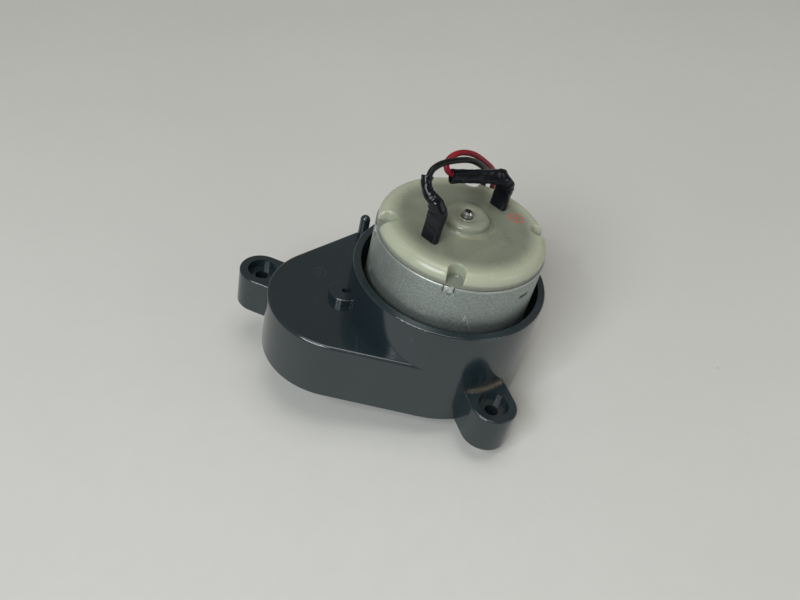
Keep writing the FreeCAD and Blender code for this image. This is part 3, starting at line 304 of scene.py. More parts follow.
def housing_finish(tint):
    """Glossy slate grey moulding: fine grain, handling scuffs, dust in corners, and a mould ring
    painted lighter as its highlight.
    """
    skin = Finish("housing_plastic", Specular_IOR_Level=0.75)
    broad = skin.cloud(70, 3.0)
    fine = skin.cloud(2600, 2.0)
    scuffs = (skin.scratches(60, 2600, (0.2, 0.1, 0.5))
              + skin.scratches(70, 2200, (0.9, 0.3, 2.0)))
    specks = skin.specks(420, 0.075) * skin.cloud(90, 1.0).step(0.47, 0.58)
    roof = skin.z.step((ROOF_LEVEL - 0.25) * MM, (ROOF_LEVEL - 0.10) * MM) \
        * (1 - skin.z.step((ROOF_LEVEL + 0.10) * MM, (ROOF_LEVEL + 0.25) * MM))
    ring_reach = skin.reach(-4.6, 6.7)
    ring = (1 - abs(ring_reach - 1.25).step(0.05, 0.20)) \
        + (1 - abs(ring_reach - 0.3).step(0.05, 0.2))
    run = ((skin.x - 0.4 * MM) * 0.55 + (skin.y - 10.5 * MM) * 0.835) / MM
    aside = ((skin.x - 0.4 * MM) * 0.835 - (skin.y - 10.5 * MM) * 0.55) / MM
    squiggle = (1 - abs(aside - (run * 1.7).math("SINE") * 0.6).step(0.02, 0.13)) \
        * (1 - abs(run).step(2.8, 3.6))
    mould_mark_and_highlight = (ring + squiggle * 0.8) * roof
    grit = skin.cloud(4200, 4.0, 0.75).step(0.46, 0.54)
    corner = 1 - skin.reach(AXIS_X / MM, AXIS_Y / MM).step(18.9, 19.8)
    dust = skin.spot(27.2, -17.0, EAR_LEVEL, 3.4, 1.8) * corner \
        * (1 - skin.z.step(8.0 * MM, 8.9 * MM)) * grit
    sink_dust = (1 - skin.reach(*FRONT_EAR).step(1.8, 3.0)) * skin.z.step(5.6 * MM, 5.9 * MM) \
        * (1 - skin.z.step(7.2 * MM, 7.6 * MM)) * grit * 0.20
    base = skin.mix(broad.step(0.30, 0.72), shade(tint, 0.90), shade(tint, 1.14))
    base = skin.mix(fine.step(0.35, 0.75) * 0.25, base, shade(tint, 1.5))
    base = skin.mix((scuffs * 0.30).math("MINIMUM", 0.5), base, shade(tint, 4.2))
    base = skin.mix(specks * 0.5, base, shade(tint, 6.0))
    # Painted highlight: the embossed mould ring is lightened along its lines. The squiggle's lighter
    # tone is a real scratch.
    base = skin.mix((mould_mark_and_highlight * 0.45).math("MINIMUM", 0.6), base, shade(tint, 2.4))
    base = skin.mix(((dust + sink_dust) * 0.85).math("MINIMUM", 0.9), base, (0.20, 0.155, 0.10))
    skin.surface(Base_Color=base,
                 Roughness=0.10 + broad * 0.07 + fine * 0.03 + scuffs * 0.15
                 + (dust + sink_dust) * 0.5 + specks * 0.3)
    skin.bump(fine * 0.12 + skin.cloud(150, 2.0) * 0.9 + dust * 1.2 - mould_mark_and_highlight * 1.4
              - scuffs * 0.12, 0.035 * MM, 0.45)
    return skin


def can_finish(tint):
    """Zinc plate on drawn steel: fine spangle, drawing lines, bright crimps, a painted rim highlight
    and painted shade in the cut slits.
    """
    skin = Finish("can_steel", Specular_IOR_Level=0.5)
    spangle = skin.cloud(2900, 3.0, 0.65)
    broad = skin.cloud(120, 3.0)
    drawn = skin.cloud(1, 2.0, 0.5, skin.stretched((45, 45, 5200)))
    scratches = skin.scratches(50, 3200, (0.0, 0.35, 0.2), 0.010, 0.52)
    tarnish = skin.cloud(260, 5.0, 0.65).step(0.60, 0.78)
    # Painted highlight: the band under the rim is lightened for the rounded edge's bright line.
    rim = skin.z.step(RIM - 0.45 * MM, RIM - 0.2 * MM)
    crimps, shaded_cut_slits = 0.0, 0.0
    ragged = skin.cloud(1300, 3.0)
    for turn in NOTCH_TURNS:
        middle = turn + CRIMP_TURN
        crimps = skin.patch(middle, RIM / MM - 0.9, 0.45, 0.45, 0.45) \
            * ragged.step(0.44, 0.50) + crimps
        for side in (-1, 1):
            shaded_cut_slits = skin.patch(middle + side * 3.5, RIM / MM - 0.55, 0.05, 0.60, 0.14) + shaded_cut_slits
    ink = skin.patch(-49.6, RIM / MM - 3.0, 1.15, 0.34, 0.10)
    base = skin.mix(spangle.step(0.32, 0.68), shade(tint, 0.74), shade(tint, 1.16))
    base = skin.mix(broad.step(0.35, 0.75) * 0.4, base, shade(tint, 0.82))
    base = skin.mix(drawn.step(0.45, 0.75) * 0.25, base, shade(tint, 1.35))
    base = skin.mix(tarnish * 0.35, base, (0.15, 0.135, 0.11))
    base = skin.mix(scratches * 0.55, base, shade(tint, 2.2))
    # The rim band's light colour is a painted highlight.
    base = skin.mix((rim * 0.40 + crimps * 0.75).math("MINIMUM", 0.95), base, (0.72, 0.73, 0.72))
    # Painted shade: the cut slits beside each crimp go near black. The ink bars are real print.
    base = skin.mix((ink * 1.0 + shaded_cut_slits * 0.8).math("MINIMUM", 1.0), base, (0.02, 0.02, 0.022))
    skin.surface(Base_Color=base,
                 Metallic=0.86 - tarnish * 0.5 - ink * 0.85,
                 Roughness=0.40 + spangle * 0.16 + tarnish * 0.2 - rim * 0.12 - crimps * 0.22)
    skin.bump(spangle * 0.45 + drawn * 0.35 - scratches * 0.5
              + crimps * ragged * 8.0 - shaded_cut_slits * 2.0, 0.02 * MM, 0.5)
    return skin


def cap_finish(lit_rim_tint, shaded_middle_tint):
    """Milky natural nylon: a rim painted light as the shoulder's highlight, a middle painted darker
    as shade and partly as the dark motor under it, flow lines and a polarity ring.
    """
    skin = Finish("cap_nylon", Subsurface_Weight=0.22, Subsurface_Scale=0.0014,
                  Subsurface_Radius=(1.0, 1.0, 0.8), Specular_IOR_Level=0.5)
    reach = skin.reach(AXIS_X / MM, 0)
    flow = skin.cloud(95, 3.0, 0.6, distortion=1.2)
    fine = skin.cloud(1900, 2.0)
    # Painted shade and highlight: the middle darkens towards the dark tint, partly for the dark
    # motor seen through the cap. The rim band stays light as the shoulder's highlight.
    middle = (1 - reach.step(11.0, 14.6)) * (0.82 + reach.step(3.8, 5.2) * 0.18)
    flat = middle * (0.58 + flow * 0.66)
    stain = skin.cloud(150, 2.0, 0.5).step(0.56, 0.80)
    boss_foot = (1 - abs(reach - 5.2).step(0.1, 0.9)) * skin.cloud(330, 2.0).step(0.52, 0.66)
    scuffs = skin.scratches(60, 2600, (0.1, 0.2, 0.9), 0.012, 0.55)
    plus_x = (skin.x - 29.55 * MM) / MM
    plus_y = (skin.y - 2.95 * MM) / MM
    ring = 1 - abs((plus_x ** 2 + plus_y ** 2) ** 0.5 - 1.42).step(0.09, 0.22)
    bar = (1 - abs(plus_x).step(0.08, 0.19)) * (1 - abs(plus_y).step(0.80, 0.95))
    cross = (1 - abs(plus_y).step(0.08, 0.19)) * (1 - abs(plus_x).step(0.80, 0.95))
    ink = ((ring + bar + cross).math("MINIMUM", 1.0)
           * skin.cloud(1400, 2.0).step(0.22, 0.38) * skin.z.step(RIM + 1.2 * MM, RIM + 1.8 * MM))
    base = skin.mix(flat.math("MINIMUM", 1.0), lit_rim_tint, shaded_middle_tint)
    # Painted shade: the floors of the notches are darkened as recesses.
    shaded_notch_floor = (1 - skin.z.step(RIM + 0.45 * MM, RIM + 1.3 * MM)) * reach.step(12.4, 12.9)
    base = skin.mix(shaded_notch_floor * 0.8, base, (0.15, 0.165, 0.14))
    base = skin.mix(stain * 0.12, base, shade(shaded_middle_tint, 0.62))
    base = skin.mix(boss_foot * 0.22, base, (0.42, 0.38, 0.22))
    base = skin.mix(fine.step(0.4, 0.8) * 0.04, base, shade(lit_rim_tint, 1.25))
    base = skin.mix(scuffs * 0.14, base, shade(lit_rim_tint, 1.5))
    base = skin.mix(ink * 0.80, base, (0.50, 0.10, 0.055))
    skin.surface(Base_Color=base,
                 Roughness=0.16 + flow * 0.14 + fine * 0.05 + scuffs * 0.2 + ink * 0.2)
    skin.bump(flow * 0.9 + skin.cloud(300, 1.0) * 0.35 + fine * 0.02 - scuffs * 0.15
              + ink * 0.1, 0.07 * MM, 0.45)
    return skin


def sleeve_finish(tint):
    """Black heat-shrunk sleeve: a bluish tint painted for its sheen, crease tone painted as shade
    and highlight, and pale rub marks.
    """
    skin = Finish("shrink_sleeve", Specular_IOR_Level=0.28)
    creases = skin.cloud(1, 2.0, 0.5, skin.stretched((420, 420, 900)), 0.5)
    fine = skin.cloud(5200, 2.0)
    rubbed = skin.cloud(800, 4.0, 0.65).step(0.60, 0.74)
    # Painted shade and highlight: the colour darkens in the crease hollows and lightens on the
    # ridges.
    base = skin.mix(creases.step(0.3, 0.75), shade(tint, 0.7), shade(tint, 1.5))
    base = skin.mix(rubbed * 0.16, base, (0.08, 0.09, 0.11))
    skin.surface(Base_Color=base, Roughness=0.11 + creases * 0.10 + rubbed * 0.16 + fine * 0.03)
    skin.bump(creases * 1.0 + fine * 0.03, 0.06 * MM, 0.5)
    return skin


def wire_finish(name, tint):
    """Soft extruded insulation: faint haze and rub marks."""
    skin = Finish(name, Specular_IOR_Level=0.25)
    haze = skin.cloud(420, 3.0)
    fine = skin.cloud(6000, 2.0)
    rubbed = skin.cloud(900, 3.0).step(0.62, 0.78)
    base = skin.mix(haze.step(0.3, 0.7), shade(tint, 0.78), shade(tint, 1.22))
    base = skin.mix(rubbed * 0.20, base, shade(tint, 2.4))
    skin.surface(Base_Color=base, Roughness=0.33 + haze * 0.12 + rubbed * 0.15)
    skin.bump(fine * 0.2 + haze * 0.8, 0.03 * MM, 0.4)
    return skin


def metal_finish(name, tint, rough, turned=None, patina=0.2):
    """Bare metal: turning lines round an upright axis or plain grain, and a little patina."""
    skin = Finish(name)
    grain = skin.cloud(2400, 3.0)
    if turned:
        lines = skin.cloud(1, 1.0, 0.5, skin.stretched((60, 60, 9000)))
        faced = (skin.reach(*turned) * 42.0).math("SINE") * 0.5 + 0.5
        lines = lines * 0.7 + faced * 0.3
    else:
        lines = skin.cloud(1, 2.0, 0.5, skin.stretched((300, 4200, 1200), (0.3, 0.5, 0.2)))
    aged = skin.cloud(520, 4.0, 0.6).step(0.52, 0.72)
    base = skin.mix(lines.step(0.3, 0.75), shade(tint, 0.80), shade(tint, 1.15))
    base = skin.mix(aged * patina, base, shade(tint, 0.42))
    skin.surface(Base_Color=base, Metallic=1.0 - aged * patina * 0.6,
                 Roughness=rough + lines * 0.10 + aged * patina * 0.7)
    skin.bump(lines * 0.6 + grain * 0.3, 0.012 * MM, 0.5)
    return skin


def moulded_finish(name, tint, rough, translucent=0.0, grease=0.0):
    """Small moulded or pressed piece: grain, slight mottling and a film of grease."""
    skin = Finish(name, Specular_IOR_Level=0.45, Subsurface_Weight=translucent,
                  Subsurface_Scale=0.001)
    mottle = skin.cloud(300, 3.0)
    fine = skin.cloud(3400, 3.0)
    film = skin.cloud(240, 4.0, 0.6).step(0.46, 0.66)
    base = skin.mix(mottle.step(0.3, 0.7), shade(tint, 0.88), shade(tint, 1.08))
    base = skin.mix(fine.step(0.45, 0.8) * 0.2, base, shade(tint, 0.72))
    base = skin.mix(film * grease, base, shade((tint[0], tint[1] * 0.96, tint[2] * 0.78), 0.85))
    skin.surface(Base_Color=base, Roughness=rough + fine * 0.12 - film * grease * 0.25)
    skin.bump(fine * 0.5 + mottle * 0.5, 0.02 * MM, 0.45)
    return skin


def table_finish(tint):
    """Painted table top: soft mottling, a few grains of dirt and faint rub marks."""
    skin = Finish("table_top", Specular_IOR_Level=0.25)
    broad = skin.cloud(7, 3.0)
    fine = skin.cloud(240, 3.0)
    grains = skin.specks(70, 0.016) * skin.cloud(23, 1.0).step(0.47, 0.54)
    marks = skin.specks(150, 0.035) * skin.cloud(31, 1.0).step(0.54, 0.62)
    base = skin.mix(broad.step(0.3, 0.7), shade(tint, 0.965), shade(tint, 1.02))
    base = skin.mix(fine.step(0.3, 0.8) * 0.3, base, shade(tint, 0.95))
    base = skin.mix(grains * 0.6 + marks * 0.2, base, (0.10, 0.09, 0.075))
    skin.surface(Base_Color=base, Roughness=0.55 + fine * 0.1)
    skin.bump(fine, 0.05 * MM, 0.15)
    return skin


# ---------------------------------------------------------------- surfaces

def grid_piece(name, points, body, closed_rows=False):
    """Mesh of a grid of points that closes round its columns.

    points[i, j] are row i and column j in metres. Column pairs join into quads, the last
    column joins the first, and the last row joins the first where closed_rows is set;
    otherwise a fan to its mean point closes each end row.
    """
    rows, columns = points.shape[:2]
    index = np.arange(rows * columns).reshape(rows, columns)
    below = index if closed_rows else index[:-1]
    above = np.roll(index, -1, axis=0) if closed_rows else index[1:]
    quads = np.stack([below, np.roll(below, -1, axis=1), np.roll(above, -1, axis=1), above],
                     axis=-1).reshape(-1, 4)
    vertices = points.reshape(-1, 3)
    faces = quads.tolist()
    if not closed_rows:
        ends = np.stack([points[0].mean(axis=0), points[-1].mean(axis=0)])
        vertices = np.concatenate([vertices, ends])
        first, last = rows * columns, rows * columns + 1
        start = np.stack([np.full(columns, first), np.roll(index[0], -1), index[0]], axis=-1)
        stop = np.stack([np.full(columns, last), index[-1], np.roll(index[-1], -1)], axis=-1)
        faces += start.tolist() + stop.tolist()
    mesh = bpy.data.meshes.new(name)
    mesh.from_pydata(vertices.tolist(), [], faces)
    mesh.polygons.foreach_set("use_smooth", np.ones(len(mesh.polygons), dtype=bool))
    mesh.update()
    piece = bpy.data.objects.new(name, mesh)
    bpy.context.scene.collection.objects.link(piece)
    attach(piece, body)
    return piece


def smooth_step(value, low, high):
    """0 below low, 1 above high, and 3t^2 - 2t^3 of the share t between them."""
    share = np.clip((value - low) / (high - low), 0, 1)
    return share * share * (3 - 2 * share)


def quarter(start, end, flip, count=9):
    """Quarter ellipse between two profile points, leaving level or upright when flipped."""
    turn = np.linspace(0, math.pi / 2, count)
    across, up = np.sin(turn), 1 - np.cos(turn)
    if flip:
        across, up = up, across
    return np.stack([start[0] + (end[0] - start[0]) * across,
                     start[1] + (end[1] - start[1]) * up], axis=-1)


def cap_profile(shoulder):
    """Closed outline of the end cap in millimetres, as reach from the axis and level.

    Up the bore, over the boss's dished top and round edge, down a hollow foot, out over a
    top that falls with the square of the reach, round the shoulder, and back underneath.
    """
    base, top, boss = RIM / MM, CAP_HIGH[2] / MM - BOSS_RISE, CAP_HIGH[2] / MM
    edge = CAP_RADIUS / MM
    bore = [[1.12, base + 1.5], [1.12, boss - 0.50], [1.16, boss - 0.42], [1.30, boss - 0.39]]
    dish = np.linspace(1.45, 3.1, 12)
    boss_top = np.stack([dish, boss - 0.38 * (1 - smooth_step(dish, 1.6, 2.9))], axis=-1)
    round_top = quarter((3.25, boss), (4.35, boss - 0.95), False)
    foot = quarter((4.38, boss - 1.02), (5.15, top + 0.03), True)
    groove = [[5.22, top + 0.01], [5.34, top - 0.03], [5.46, top - 0.01]]
    out = np.linspace(5.6, edge - shoulder, 62)
    plain = np.stack([out, top - 0.13 * ((out - 5.4) / 9.0) ** 2], axis=-1)
    fall = quarter(plain[-1], (edge, top - shoulder - 0.05), False, 18)
    wall = np.stack([np.full(7, edge), np.linspace(top - shoulder - 0.15, base + 0.06, 7)], axis=-1)
    under = [[edge - 0.1, base + 0.01], [14.95, base + 0.01], [14.9, base - 1.4], [12.3, base - 1.4],
             [12.2, base - 1.3], [12.2, base + 1.35], [2.5, base + 1.4]]
    return np.concatenate([bore, boss_top, round_top, foot[1:], groove, plain, fall[1:], wall,
                           under])


def end_cap_points(sizes, columns=760):
    """Grid of the end cap: its outline turned about the motor's axis, with edge notches.

    A point inside a notch drops to the floor level. With v across and u out from the axis
    along a notch, it is inside where v^2 + min(0, u - u0)^2 is under the half width
    squared, u0 being the middle of the notch's round inner end.
    """
    profile = cap_profile(sizes.cap_shoulder / MM)
    turn = np.linspace(0, 2 * math.pi, columns, endpoint=False)
    reach = np.repeat(profile[:, 0, None], columns, axis=1)
    level = np.repeat(profile[:, 1, None], columns, axis=1)
    half = sizes.notch_width / MM / 2
    deep = sizes.notch_depth / MM
    floor = RIM / MM + 0.22
    for heading in np.radians(NOTCH_TURNS):
        out = reach * np.cos(turn - heading)
        across = reach * np.sin(turn - heading)
        inner = CAP_RADIUS / MM - deep + half
        inside = half - np.hypot(across, np.minimum(0, out - inner))
        inside = np.where(out > 0, inside, -1)
        share = smooth_step(inside, -0.10, 0.20)
        level = np.where(level > floor, level + (floor - level) * share, level)
    swell = 0.025 * np.sin(3 * turn + 0.6) * smooth_step(reach, 6, 12) * (level > RIM / MM + 1)
    level = level + swell - 0.025 * (level > RIM / MM + 1) * smooth_step(reach, 6, 12)
    return np.stack([AXIS_X + reach * np.cos(turn) * MM, AXIS_Y + reach * np.sin(turn) * MM,
                     level * MM], axis=-1)


def softened(values, share):
    """Rows averaged with their neighbours by a bell curve, ends held by repeating them."""
    width = max(1, int(share * len(values)))
    bell = np.exp(-0.5 * (np.arange(-3 * width, 3 * width + 1) / width) ** 2)
    bell = bell / bell.sum()
    padded = np.pad(values, ((3 * width, 3 * width), (0, 0)), mode="reflect", reflect_type="odd")
    return np.stack([np.convolve(column, bell, mode="valid") for column in padded.T], axis=-1)


def sleeve_points(path, widths, depths, squares, facings, creases, wrinkle, seed,
                  rows=190, columns=88):
    """Grid of a shrink sleeve along a path, from its flat foot to its open mouth.

    At a share s of the path and an angle a the skin stands at W w sgn(cos a)|cos a|^e +
    D d sgn(sin a)|sin a|^e from the path, with width w along W and depth d along D, boxy
    where e is small and round where it is 1. Low waves in s and a, and short ridges by each
    crease, are added outwards. The mouth turns in over its rim and back down inside.
    """
    dice = np.random.default_rng(seed)
    path = np.array(path, dtype=float)
    runs = np.concatenate([[0], np.cumsum(np.linalg.norm(np.diff(path, axis=0), axis=1))])
    marks = runs / runs[-1]
    share = np.linspace(0, 1, rows)

    def along(values):
        table = np.array(values, dtype=float).reshape(len(path), -1)
        return np.stack([np.interp(share, marks, column) for column in table.T], axis=-1)

    spine = softened(along(path), 0.022)
    width, depth = softened(along(widths), 0.03), softened(along(depths), 0.03)
    ahead = np.gradient(spine, axis=0)
    ahead /= np.linalg.norm(ahead, axis=1, keepdims=True)
    facing = softened(along(facings), 0.05)
    facing -= ahead * (facing * ahead).sum(axis=1, keepdims=True)
    facing /= np.linalg.norm(facing, axis=1, keepdims=True)
    aside = np.cross(ahead, facing)
    angle = np.linspace(0, 2 * math.pi, columns, endpoint=False)
    cosine, sine = np.cos(angle), np.sin(angle)
    power = softened(along(squares), 0.03)
    flat_c = np.sign(cosine) * np.abs(cosine) ** power
    flat_s = np.sign(sine) * np.abs(sine) ** power
    relief = np.zeros((rows, columns))
    for turns in (1, 2, 3, 3, 4, 5):
        rate = dice.uniform(2.5, 11)
        relief += dice.uniform(0.25, 0.7) * np.sin(
            2 * math.pi * (rate * share[:, None] + dice.uniform()) + turns * angle)
    for place, spread, strength, side in creases:
        near = np.exp(-0.5 * ((share - place) / spread) ** 2)[:, None]
        ridges = np.sin(2 * math.pi * (share - place) * runs[-1] / 0.95)[:, None]
        relief += strength * near * ridges * (0.55 + 0.45 * np.cos(angle - side))
    fade = smooth_step(share, 0.0, 0.10)[:, None]
    swell = 1 + relief * fade * (wrinkle / MM) / np.maximum(width, depth)
    collar = np.exp(-0.5 * ((share - 0.985) / 0.02) ** 2)[:, None] * 0.07
    swell = swell + collar

    def ring_at(row, scale, shift=0.0):
        offset = (facing[row] * width[row] * flat_c[row][:, None]
                  + aside[row] * depth[row] * flat_s[row][:, None]) * swell[row][:, None] * scale
        return spine[row] + ahead[row] * shift + offset

    skin = np.stack([ring_at(row, 1.0) for row in range(rows)])
    lip = [ring_at(rows - 1, 0.95, 0.06), ring_at(rows - 1, 0.86, 0.05)]
    inside = [ring_at(row, 0.80) for row in (rows - 2, rows - 8, rows - 16, rows - 24)]
    return np.concatenate([skin, np.stack(lip), np.stack(inside)]) * MM


# ---------------------------------------------------------------- operators

class MOTOR_OT_stage(bpy.types.Operator):
    """Make the camera, the table and the soft studio light"""
    bl_idname = "motor.stage"
    bl_label = "Stage"

    def execute(self, context):
        sizes = context.scene.motor_sizes
        colours = context.scene.motor_colours
        lens = bpy.data.cameras.new("camera")
        lens.sensor_width = SENSOR_WIDTH
        lens.lens = FOCAL_LENGTH
        lens.clip_start = 0.01
        camera = bpy.data.objects.new("camera", lens)
        context.scene.collection.objects.link(camera)
        up = CAMERA_RIGHT.cross(CAMERA_AHEAD)
        turn = Matrix((CAMERA_RIGHT, up, -CAMERA_AHEAD)).transposed()
        camera.matrix_world = Matrix.Translation(CAMERA_PLACE * MM) @ turn.to_4x4()
        context.scene.camera = camera

        across = TABLE_NORMAL.cross(Vector((0, 1, 0))).normalized()
        along = TABLE_NORMAL.cross(across)
        middle = TABLE_NORMAL * TABLE_LEVEL
        corners = [middle + (across * a + along * b) * sizes.table
                   for a, b in ((-1, -1), (-1, 1), (1, 1), (1, -1))]
        mesh = bpy.data.meshes.new("table")
        mesh.from_pydata([tuple(corner) for corner in corners], [], [(0, 1, 2, 3)])
        mesh.update()
        if mesh.polygons[0].normal.dot(TABLE_NORMAL) < 0:
            mesh.flip_normals()
        table = bpy.data.objects.new("table", mesh)
        context.scene.collection.objects.link(table)
        table_finish(colours.table).on(table)

        target = Vector((AXIS_X, AXIS_Y, 12 * MM))
        for name, place, size, power, tint in LAMPS:
            lamp = bpy.data.lights.new(name, "AREA")
            lamp.shape = "DISK"
            lamp.size = size
            lamp.energy = power
            lamp.color = tint
            light = bpy.data.objects.new(name, lamp)
            context.scene.collection.objects.link(light)
            light.matrix_world = Matrix.Translation(place) @ (
                target - Vector(place)).to_track_quat("-Z", "Y").to_matrix().to_4x4()
        world = bpy.data.worlds.new("studio")
        world.use_nodes = True
        backing = world.node_tree.nodes["Background"]
        backing.inputs["Color"].default_value = ROOM_TINT
        backing.inputs["Strength"].default_value = ROOM_STRENGTH
        context.scene.world = world
        context.scene.view_settings.view_transform = "Standard"
        return {"FINISHED"}


# Control points of each lead in millimetres, from inside its sleeve to inside the plug.
MINUS_ROUTE = [(9.6, -4.3, 41.2), (9.5, -2.5, 43.9), (11.6, -0.6, 44.9), (14.8, 1.9, 44.4),
               (18.6, 5.2, 43.0), (22.0, 8.2, 40.2), (24.6, 11.6, 37.0), (26.0, 15.4, 33.8),
               (26.6, 18.4, 29.0), (27.2, 21.4, 23.2), (28.2, 26.0, 17.2), (29.6, 31.8, 11.4),
               (31.0, 37.2, 6.4), (31.77, 42.51, 3.6), (31.76, 44.9, 3.76)]
PLUS_ROUTE = [(19.3, 4.9, 39.6), (15.2, 4.1, 39.7), (14.0, 5.2, 41.8), (16.4, 7.5, 42.8),
              (20.2, 9.9, 41.6), (23.6, 12.6, 38.6), (27.0, 15.0, 35.4), (28.6, 17.6, 30.4),
              (29.4, 20.8, 24.8), (30.6, 25.0, 18.6), (32.0, 30.4, 12.8), (33.4, 36.2, 7.8),
              (34.23, 42.49, 4.1), (34.21, 44.89, 4.25)]


class MOTOR_OT_leads(bpy.types.Operator):
    """Lay both leads from their sleeves to the plug"""
    bl_idname = "motor.leads"
    bl_label = "Leads"

    def execute(self, context):
        wire = context.scene.motor_sizes.wire
        colours = context.scene.motor_colours
        for name, node, slot, route, length, tint, on_it in (
                ("lead_minus", "negative_lead", "black_wire", MINUS_ROUTE, 0.0751,
                 colours.black_wire, "plug_housing"),
                ("lead_plus", "positive_lead", "red_wire", PLUS_ROUTE, 0.0700,
                 colours.red_wire, "plug_contacts")):
            line = bpy.data.curves.new(name, "CURVE")
            line.dimensions = "3D"
            line.bevel_depth = 1.0
            line.bevel_resolution = 5
            line.resolution_u = 12
            line.use_fill_caps = True
            spline = line.splines.new("NURBS")
            spline.points.add(len(route) - 1)
            for point, place in zip(spline.points, route):
                point.co = [part * MM for part in place] + [1.0]
                # The tube's radius is each point's, because a curve's box counts it.
                point.radius = wire / 2
            spline.order_u = 3
            spline.use_endpoint_u = True
            lead = bpy.data.objects.new(name, line)
            context.scene.collection.objects.link(lead)
            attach(lead, "housing")
            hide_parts(node)
            wire_finish(name + "_insulation", tint).on(lead)
        return {"FINISHED"}


class MOTOR_OT_sleeves(bpy.types.Operator):
    """Shrink both sleeves over their terminals and leads"""
    bl_idname = "motor.sleeves"
    bl_label = "Sleeves"

    def execute(self, context):
        wrinkle = context.scene.motor_sizes.wrinkle
        skin = sleeve_finish(context.scene.motor_colours.sleeve)
        flat = (-0.643, 0.766, 0.0)
        foot = CAP_HIGH[2] / MM - 1.66
        minus = sleeve_points(
            path=[(11.77, -6.24, foot), (11.9, -6.1, 36.2), (12.1, -5.8, 38.6), (11.3, -5.2, 40.3),
                  (9.9, -4.4, 41.3), (9.4, -3.4, 42.5), (9.5, -2.7, 43.5)],
            widths=[1.72, 1.72, 1.78, 1.50, 1.12, 0.98, 1.04],
            depths=[0.74, 0.78, 1.06, 1.16, 1.00, 0.94, 1.00],
            squares=[0.45, 0.48, 0.55, 0.70, 0.85, 0.95, 1.0],
            facings=[flat, flat, flat, (-0.5, 0.85, 0.1), (-0.3, 0.9, 0.2), (0, 1, 0), (0, 1, 0)],
            creases=[(0.46, 0.05, 3.2, 0.0), (0.64, 0.05, 2.2, 3.1), (0.90, 0.05, 1.2, 1.5)],
            wrinkle=wrinkle, seed=11)
        plus = sleeve_points(
            path=[(26.63, 6.24, foot), (26.7, 6.3, 36.0), (26.8, 6.4, 38.4), (25.9, 6.2, 39.5),
                  (23.0, 5.6, 39.7), (19.0, 4.8, 39.75), (15.5, 4.15, 39.7)],
            widths=[1.72, 1.72, 1.74, 1.62, 1.32, 1.26, 1.30],
            depths=[0.74, 0.76, 0.92, 1.12, 0.96, 0.92, 0.96],
            squares=[0.45, 0.48, 0.52, 0.60, 0.72, 0.78, 0.80],
            facings=[flat, flat, flat, (-0.45, 0.6, 0.55), (-0.05, 0.3, 0.95), (0, 0.25, 0.97),
                     (0, 0.25, 0.97)],
            creases=[(0.30, 0.06, 2.4, 3.1), (0.42, 0.05, 2.2, 0.5), (0.75, 0.10, 0.5, 1.2)],
            wrinkle=wrinkle, seed=29)
        for name, node, points in (("sleeve_minus", "negative_sleeve", minus),
                                   ("sleeve_plus", "positive_sleeve", plus)):
            piece = grid_piece(name, points, "housing")
            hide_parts(node)
            skin.on(piece)
        return {"FINISHED"}


class MOTOR_OT_end_cap(bpy.types.Operator):
    """Mould the motor's end cap with its boss, shoulder and notches"""
    bl_idname = "motor.end_cap"
    bl_label = "End cap"

    def execute(self, context):
        colours = context.scene.motor_colours
        points = end_cap_points(context.scene.motor_sizes)
        cap = grid_piece("end_cap_moulding", points, "housing", closed_rows=True)
        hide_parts("motor_end_cap")
        cap_finish(colours.cap, colours.cap_shaded_middle).on(cap)
        return {"FINISHED"}


class MOTOR_OT_housing(bpy.types.Operator):
    """Finish the gear case, its cover and their screws"""
    bl_idname = "motor.housing"
    bl_label = "Housing"

    def execute(self, context):
        colours = context.scene.motor_colours
        housing_finish(colours.housing).on("gear_case")
        moulded_finish("cover_plastic", colours.cover, 0.38).on("bottom_cover")
        metal_finish("screw_steel", (0.34, 0.35, 0.37), 0.34, patina=0.4).on(
            "cover_screws", "motor_screws")
        return {"FINISHED"}


class MOTOR_OT_motor(bpy.types.Operator):
    """Finish the can, the magnets, the rotor, the commutator and the brushes"""
    bl_idname = "motor.motor"
    bl_label = "Motor"

    def execute(self, context):
        colours = context.scene.motor_colours
        axis = (AXIS_X / MM, AXIS_Y / MM)
        can_finish(colours.can).on("motor_can")
        metal_finish("motor_shaft_steel", colours.steel, 0.16, axis, 0.12).on("motor_shaft")
        metal_finish("lamination_steel", (0.30, 0.31, 0.33), 0.42, axis, 0.35).on("rotor_core")
        metal_finish("clip_steel", (0.50, 0.51, 0.52), 0.30).on("magnet_clip")
        metal_finish("winding_copper", (0.60, 0.26, 0.12), 0.28, patina=0.3).on("rotor_windings")
        metal_finish("segment_copper", (0.70, 0.36, 0.20), 0.24, axis, 0.3).on(
            "commutator_segments")
        metal_finish("bearing_bronze", (0.48, 0.34, 0.18), 0.40, axis, 0.4).on(
            "front_bearing", "rear_bearing")
        metal_finish("contact_brass", (0.66, 0.50, 0.24), 0.28, patina=0.25).on(
            "brush_arms", "terminals", "plug_contacts")
        moulded_finish("ferrite", (0.05, 0.05, 0.055), 0.70).on("field_magnets")
        moulded_finish("carbon", (0.035, 0.035, 0.035), 0.60).on("brushes")
        moulded_finish("phenolic", (0.12, 0.07, 0.045), 0.45).on(
            "commutator_hub", "thrust_washers")
        return {"FINISHED"}


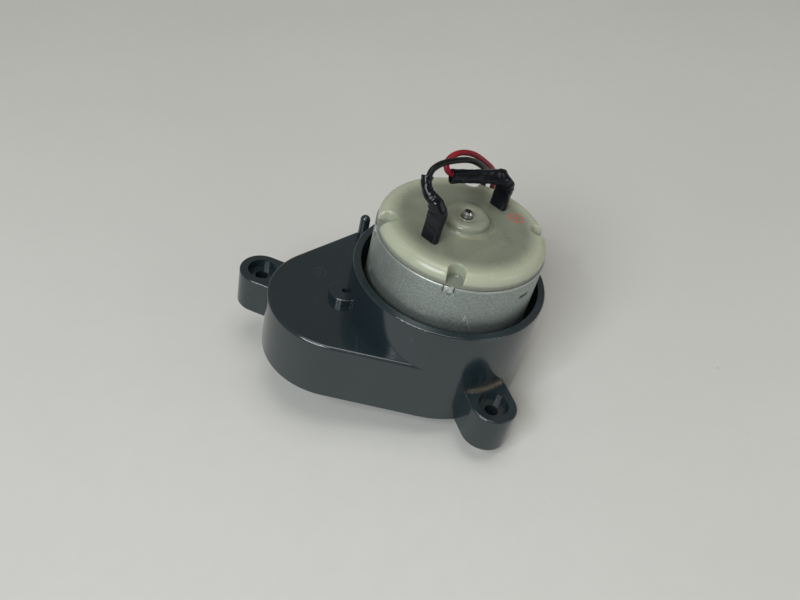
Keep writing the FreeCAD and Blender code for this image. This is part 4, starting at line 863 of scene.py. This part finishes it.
class MOTOR_OT_drive(bpy.types.Operator):
    """Finish the gears, axles, bushes and the output shaft"""
    bl_idname = "motor.drive"
    bl_label = "Drive"

    def execute(self, context):
        colours = context.scene.motor_colours
        moulded_finish("acetal", colours.gear, 0.34, 0.2, 0.5).on(
            "first_gear", "second_gear", "output_gear")
        metal_finish("pinion_brass", (0.66, 0.50, 0.24), 0.26, (AXIS_X / MM, AXIS_Y / MM)).on(
            "motor_pinion")
        metal_finish("output_steel", colours.steel, 0.22, (0, 0), 0.15).on("output_shaft")
        metal_finish("axle_steel", colours.steel, 0.20).on(
            "first_axle", "second_axle", "output_washer")
        metal_finish("bush_bronze", (0.48, 0.34, 0.18), 0.40, (0, 0), 0.4).on(
            "lower_bush", "upper_bush")
        return {"FINISHED"}


class MOTOR_OT_plug(bpy.types.Operator):
    """Finish the plug's housing"""
    bl_idname = "motor.plug"
    bl_label = "Plug"

    def execute(self, context):
        moulded_finish("plug_nylon", context.scene.motor_colours.plug, 0.36, 0.25).on(
            "plug_housing")
        return {"FINISHED"}


STEPS = (MOTOR_OT_stage, MOTOR_OT_leads, MOTOR_OT_sleeves, MOTOR_OT_end_cap, MOTOR_OT_housing,
         MOTOR_OT_motor, MOTOR_OT_drive, MOTOR_OT_plug)


class MOTOR_PT_panel(bpy.types.Panel):
    """Sizes, colours and steps of the gearmotor"""
    bl_idname = "MOTOR_PT_panel"
    bl_label = "Gearmotor"
    bl_space_type = "VIEW_3D"
    bl_region_type = "UI"
    bl_category = "Gearmotor"

    def draw(self, context):
        layout = self.layout
        for group in (context.scene.motor_sizes, context.scene.motor_colours):
            for name in group.__annotations__:
                layout.prop(group, name)
        for step in STEPS:
            layout.operator(step.bl_idname)


CLASSES = (MotorSizes, MotorColours) + STEPS + (MOTOR_PT_panel,)


def register():
    for item in CLASSES:
        bpy.utils.register_class(item)
    bpy.types.Scene.motor_sizes = bpy.props.PointerProperty(type=MotorSizes)
    bpy.types.Scene.motor_colours = bpy.props.PointerProperty(type=MotorColours)


def unregister():
    del bpy.types.Scene.motor_colours
    del bpy.types.Scene.motor_sizes
    for item in reversed(CLASSES):
        bpy.utils.unregister_class(item)


def plain(box):
    """Corners of a box as plain lists."""
    return [[float(part) for part in corner] for corner in box]


def main():
    """Build everything in order."""
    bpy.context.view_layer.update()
    register()
    for step in STEPS:
        group, name = step.bl_idname.split(".")
        getattr(getattr(bpy.ops, group), name)()
    bpy.context.view_layer.update()


if __name__ == "__main__":
    main()
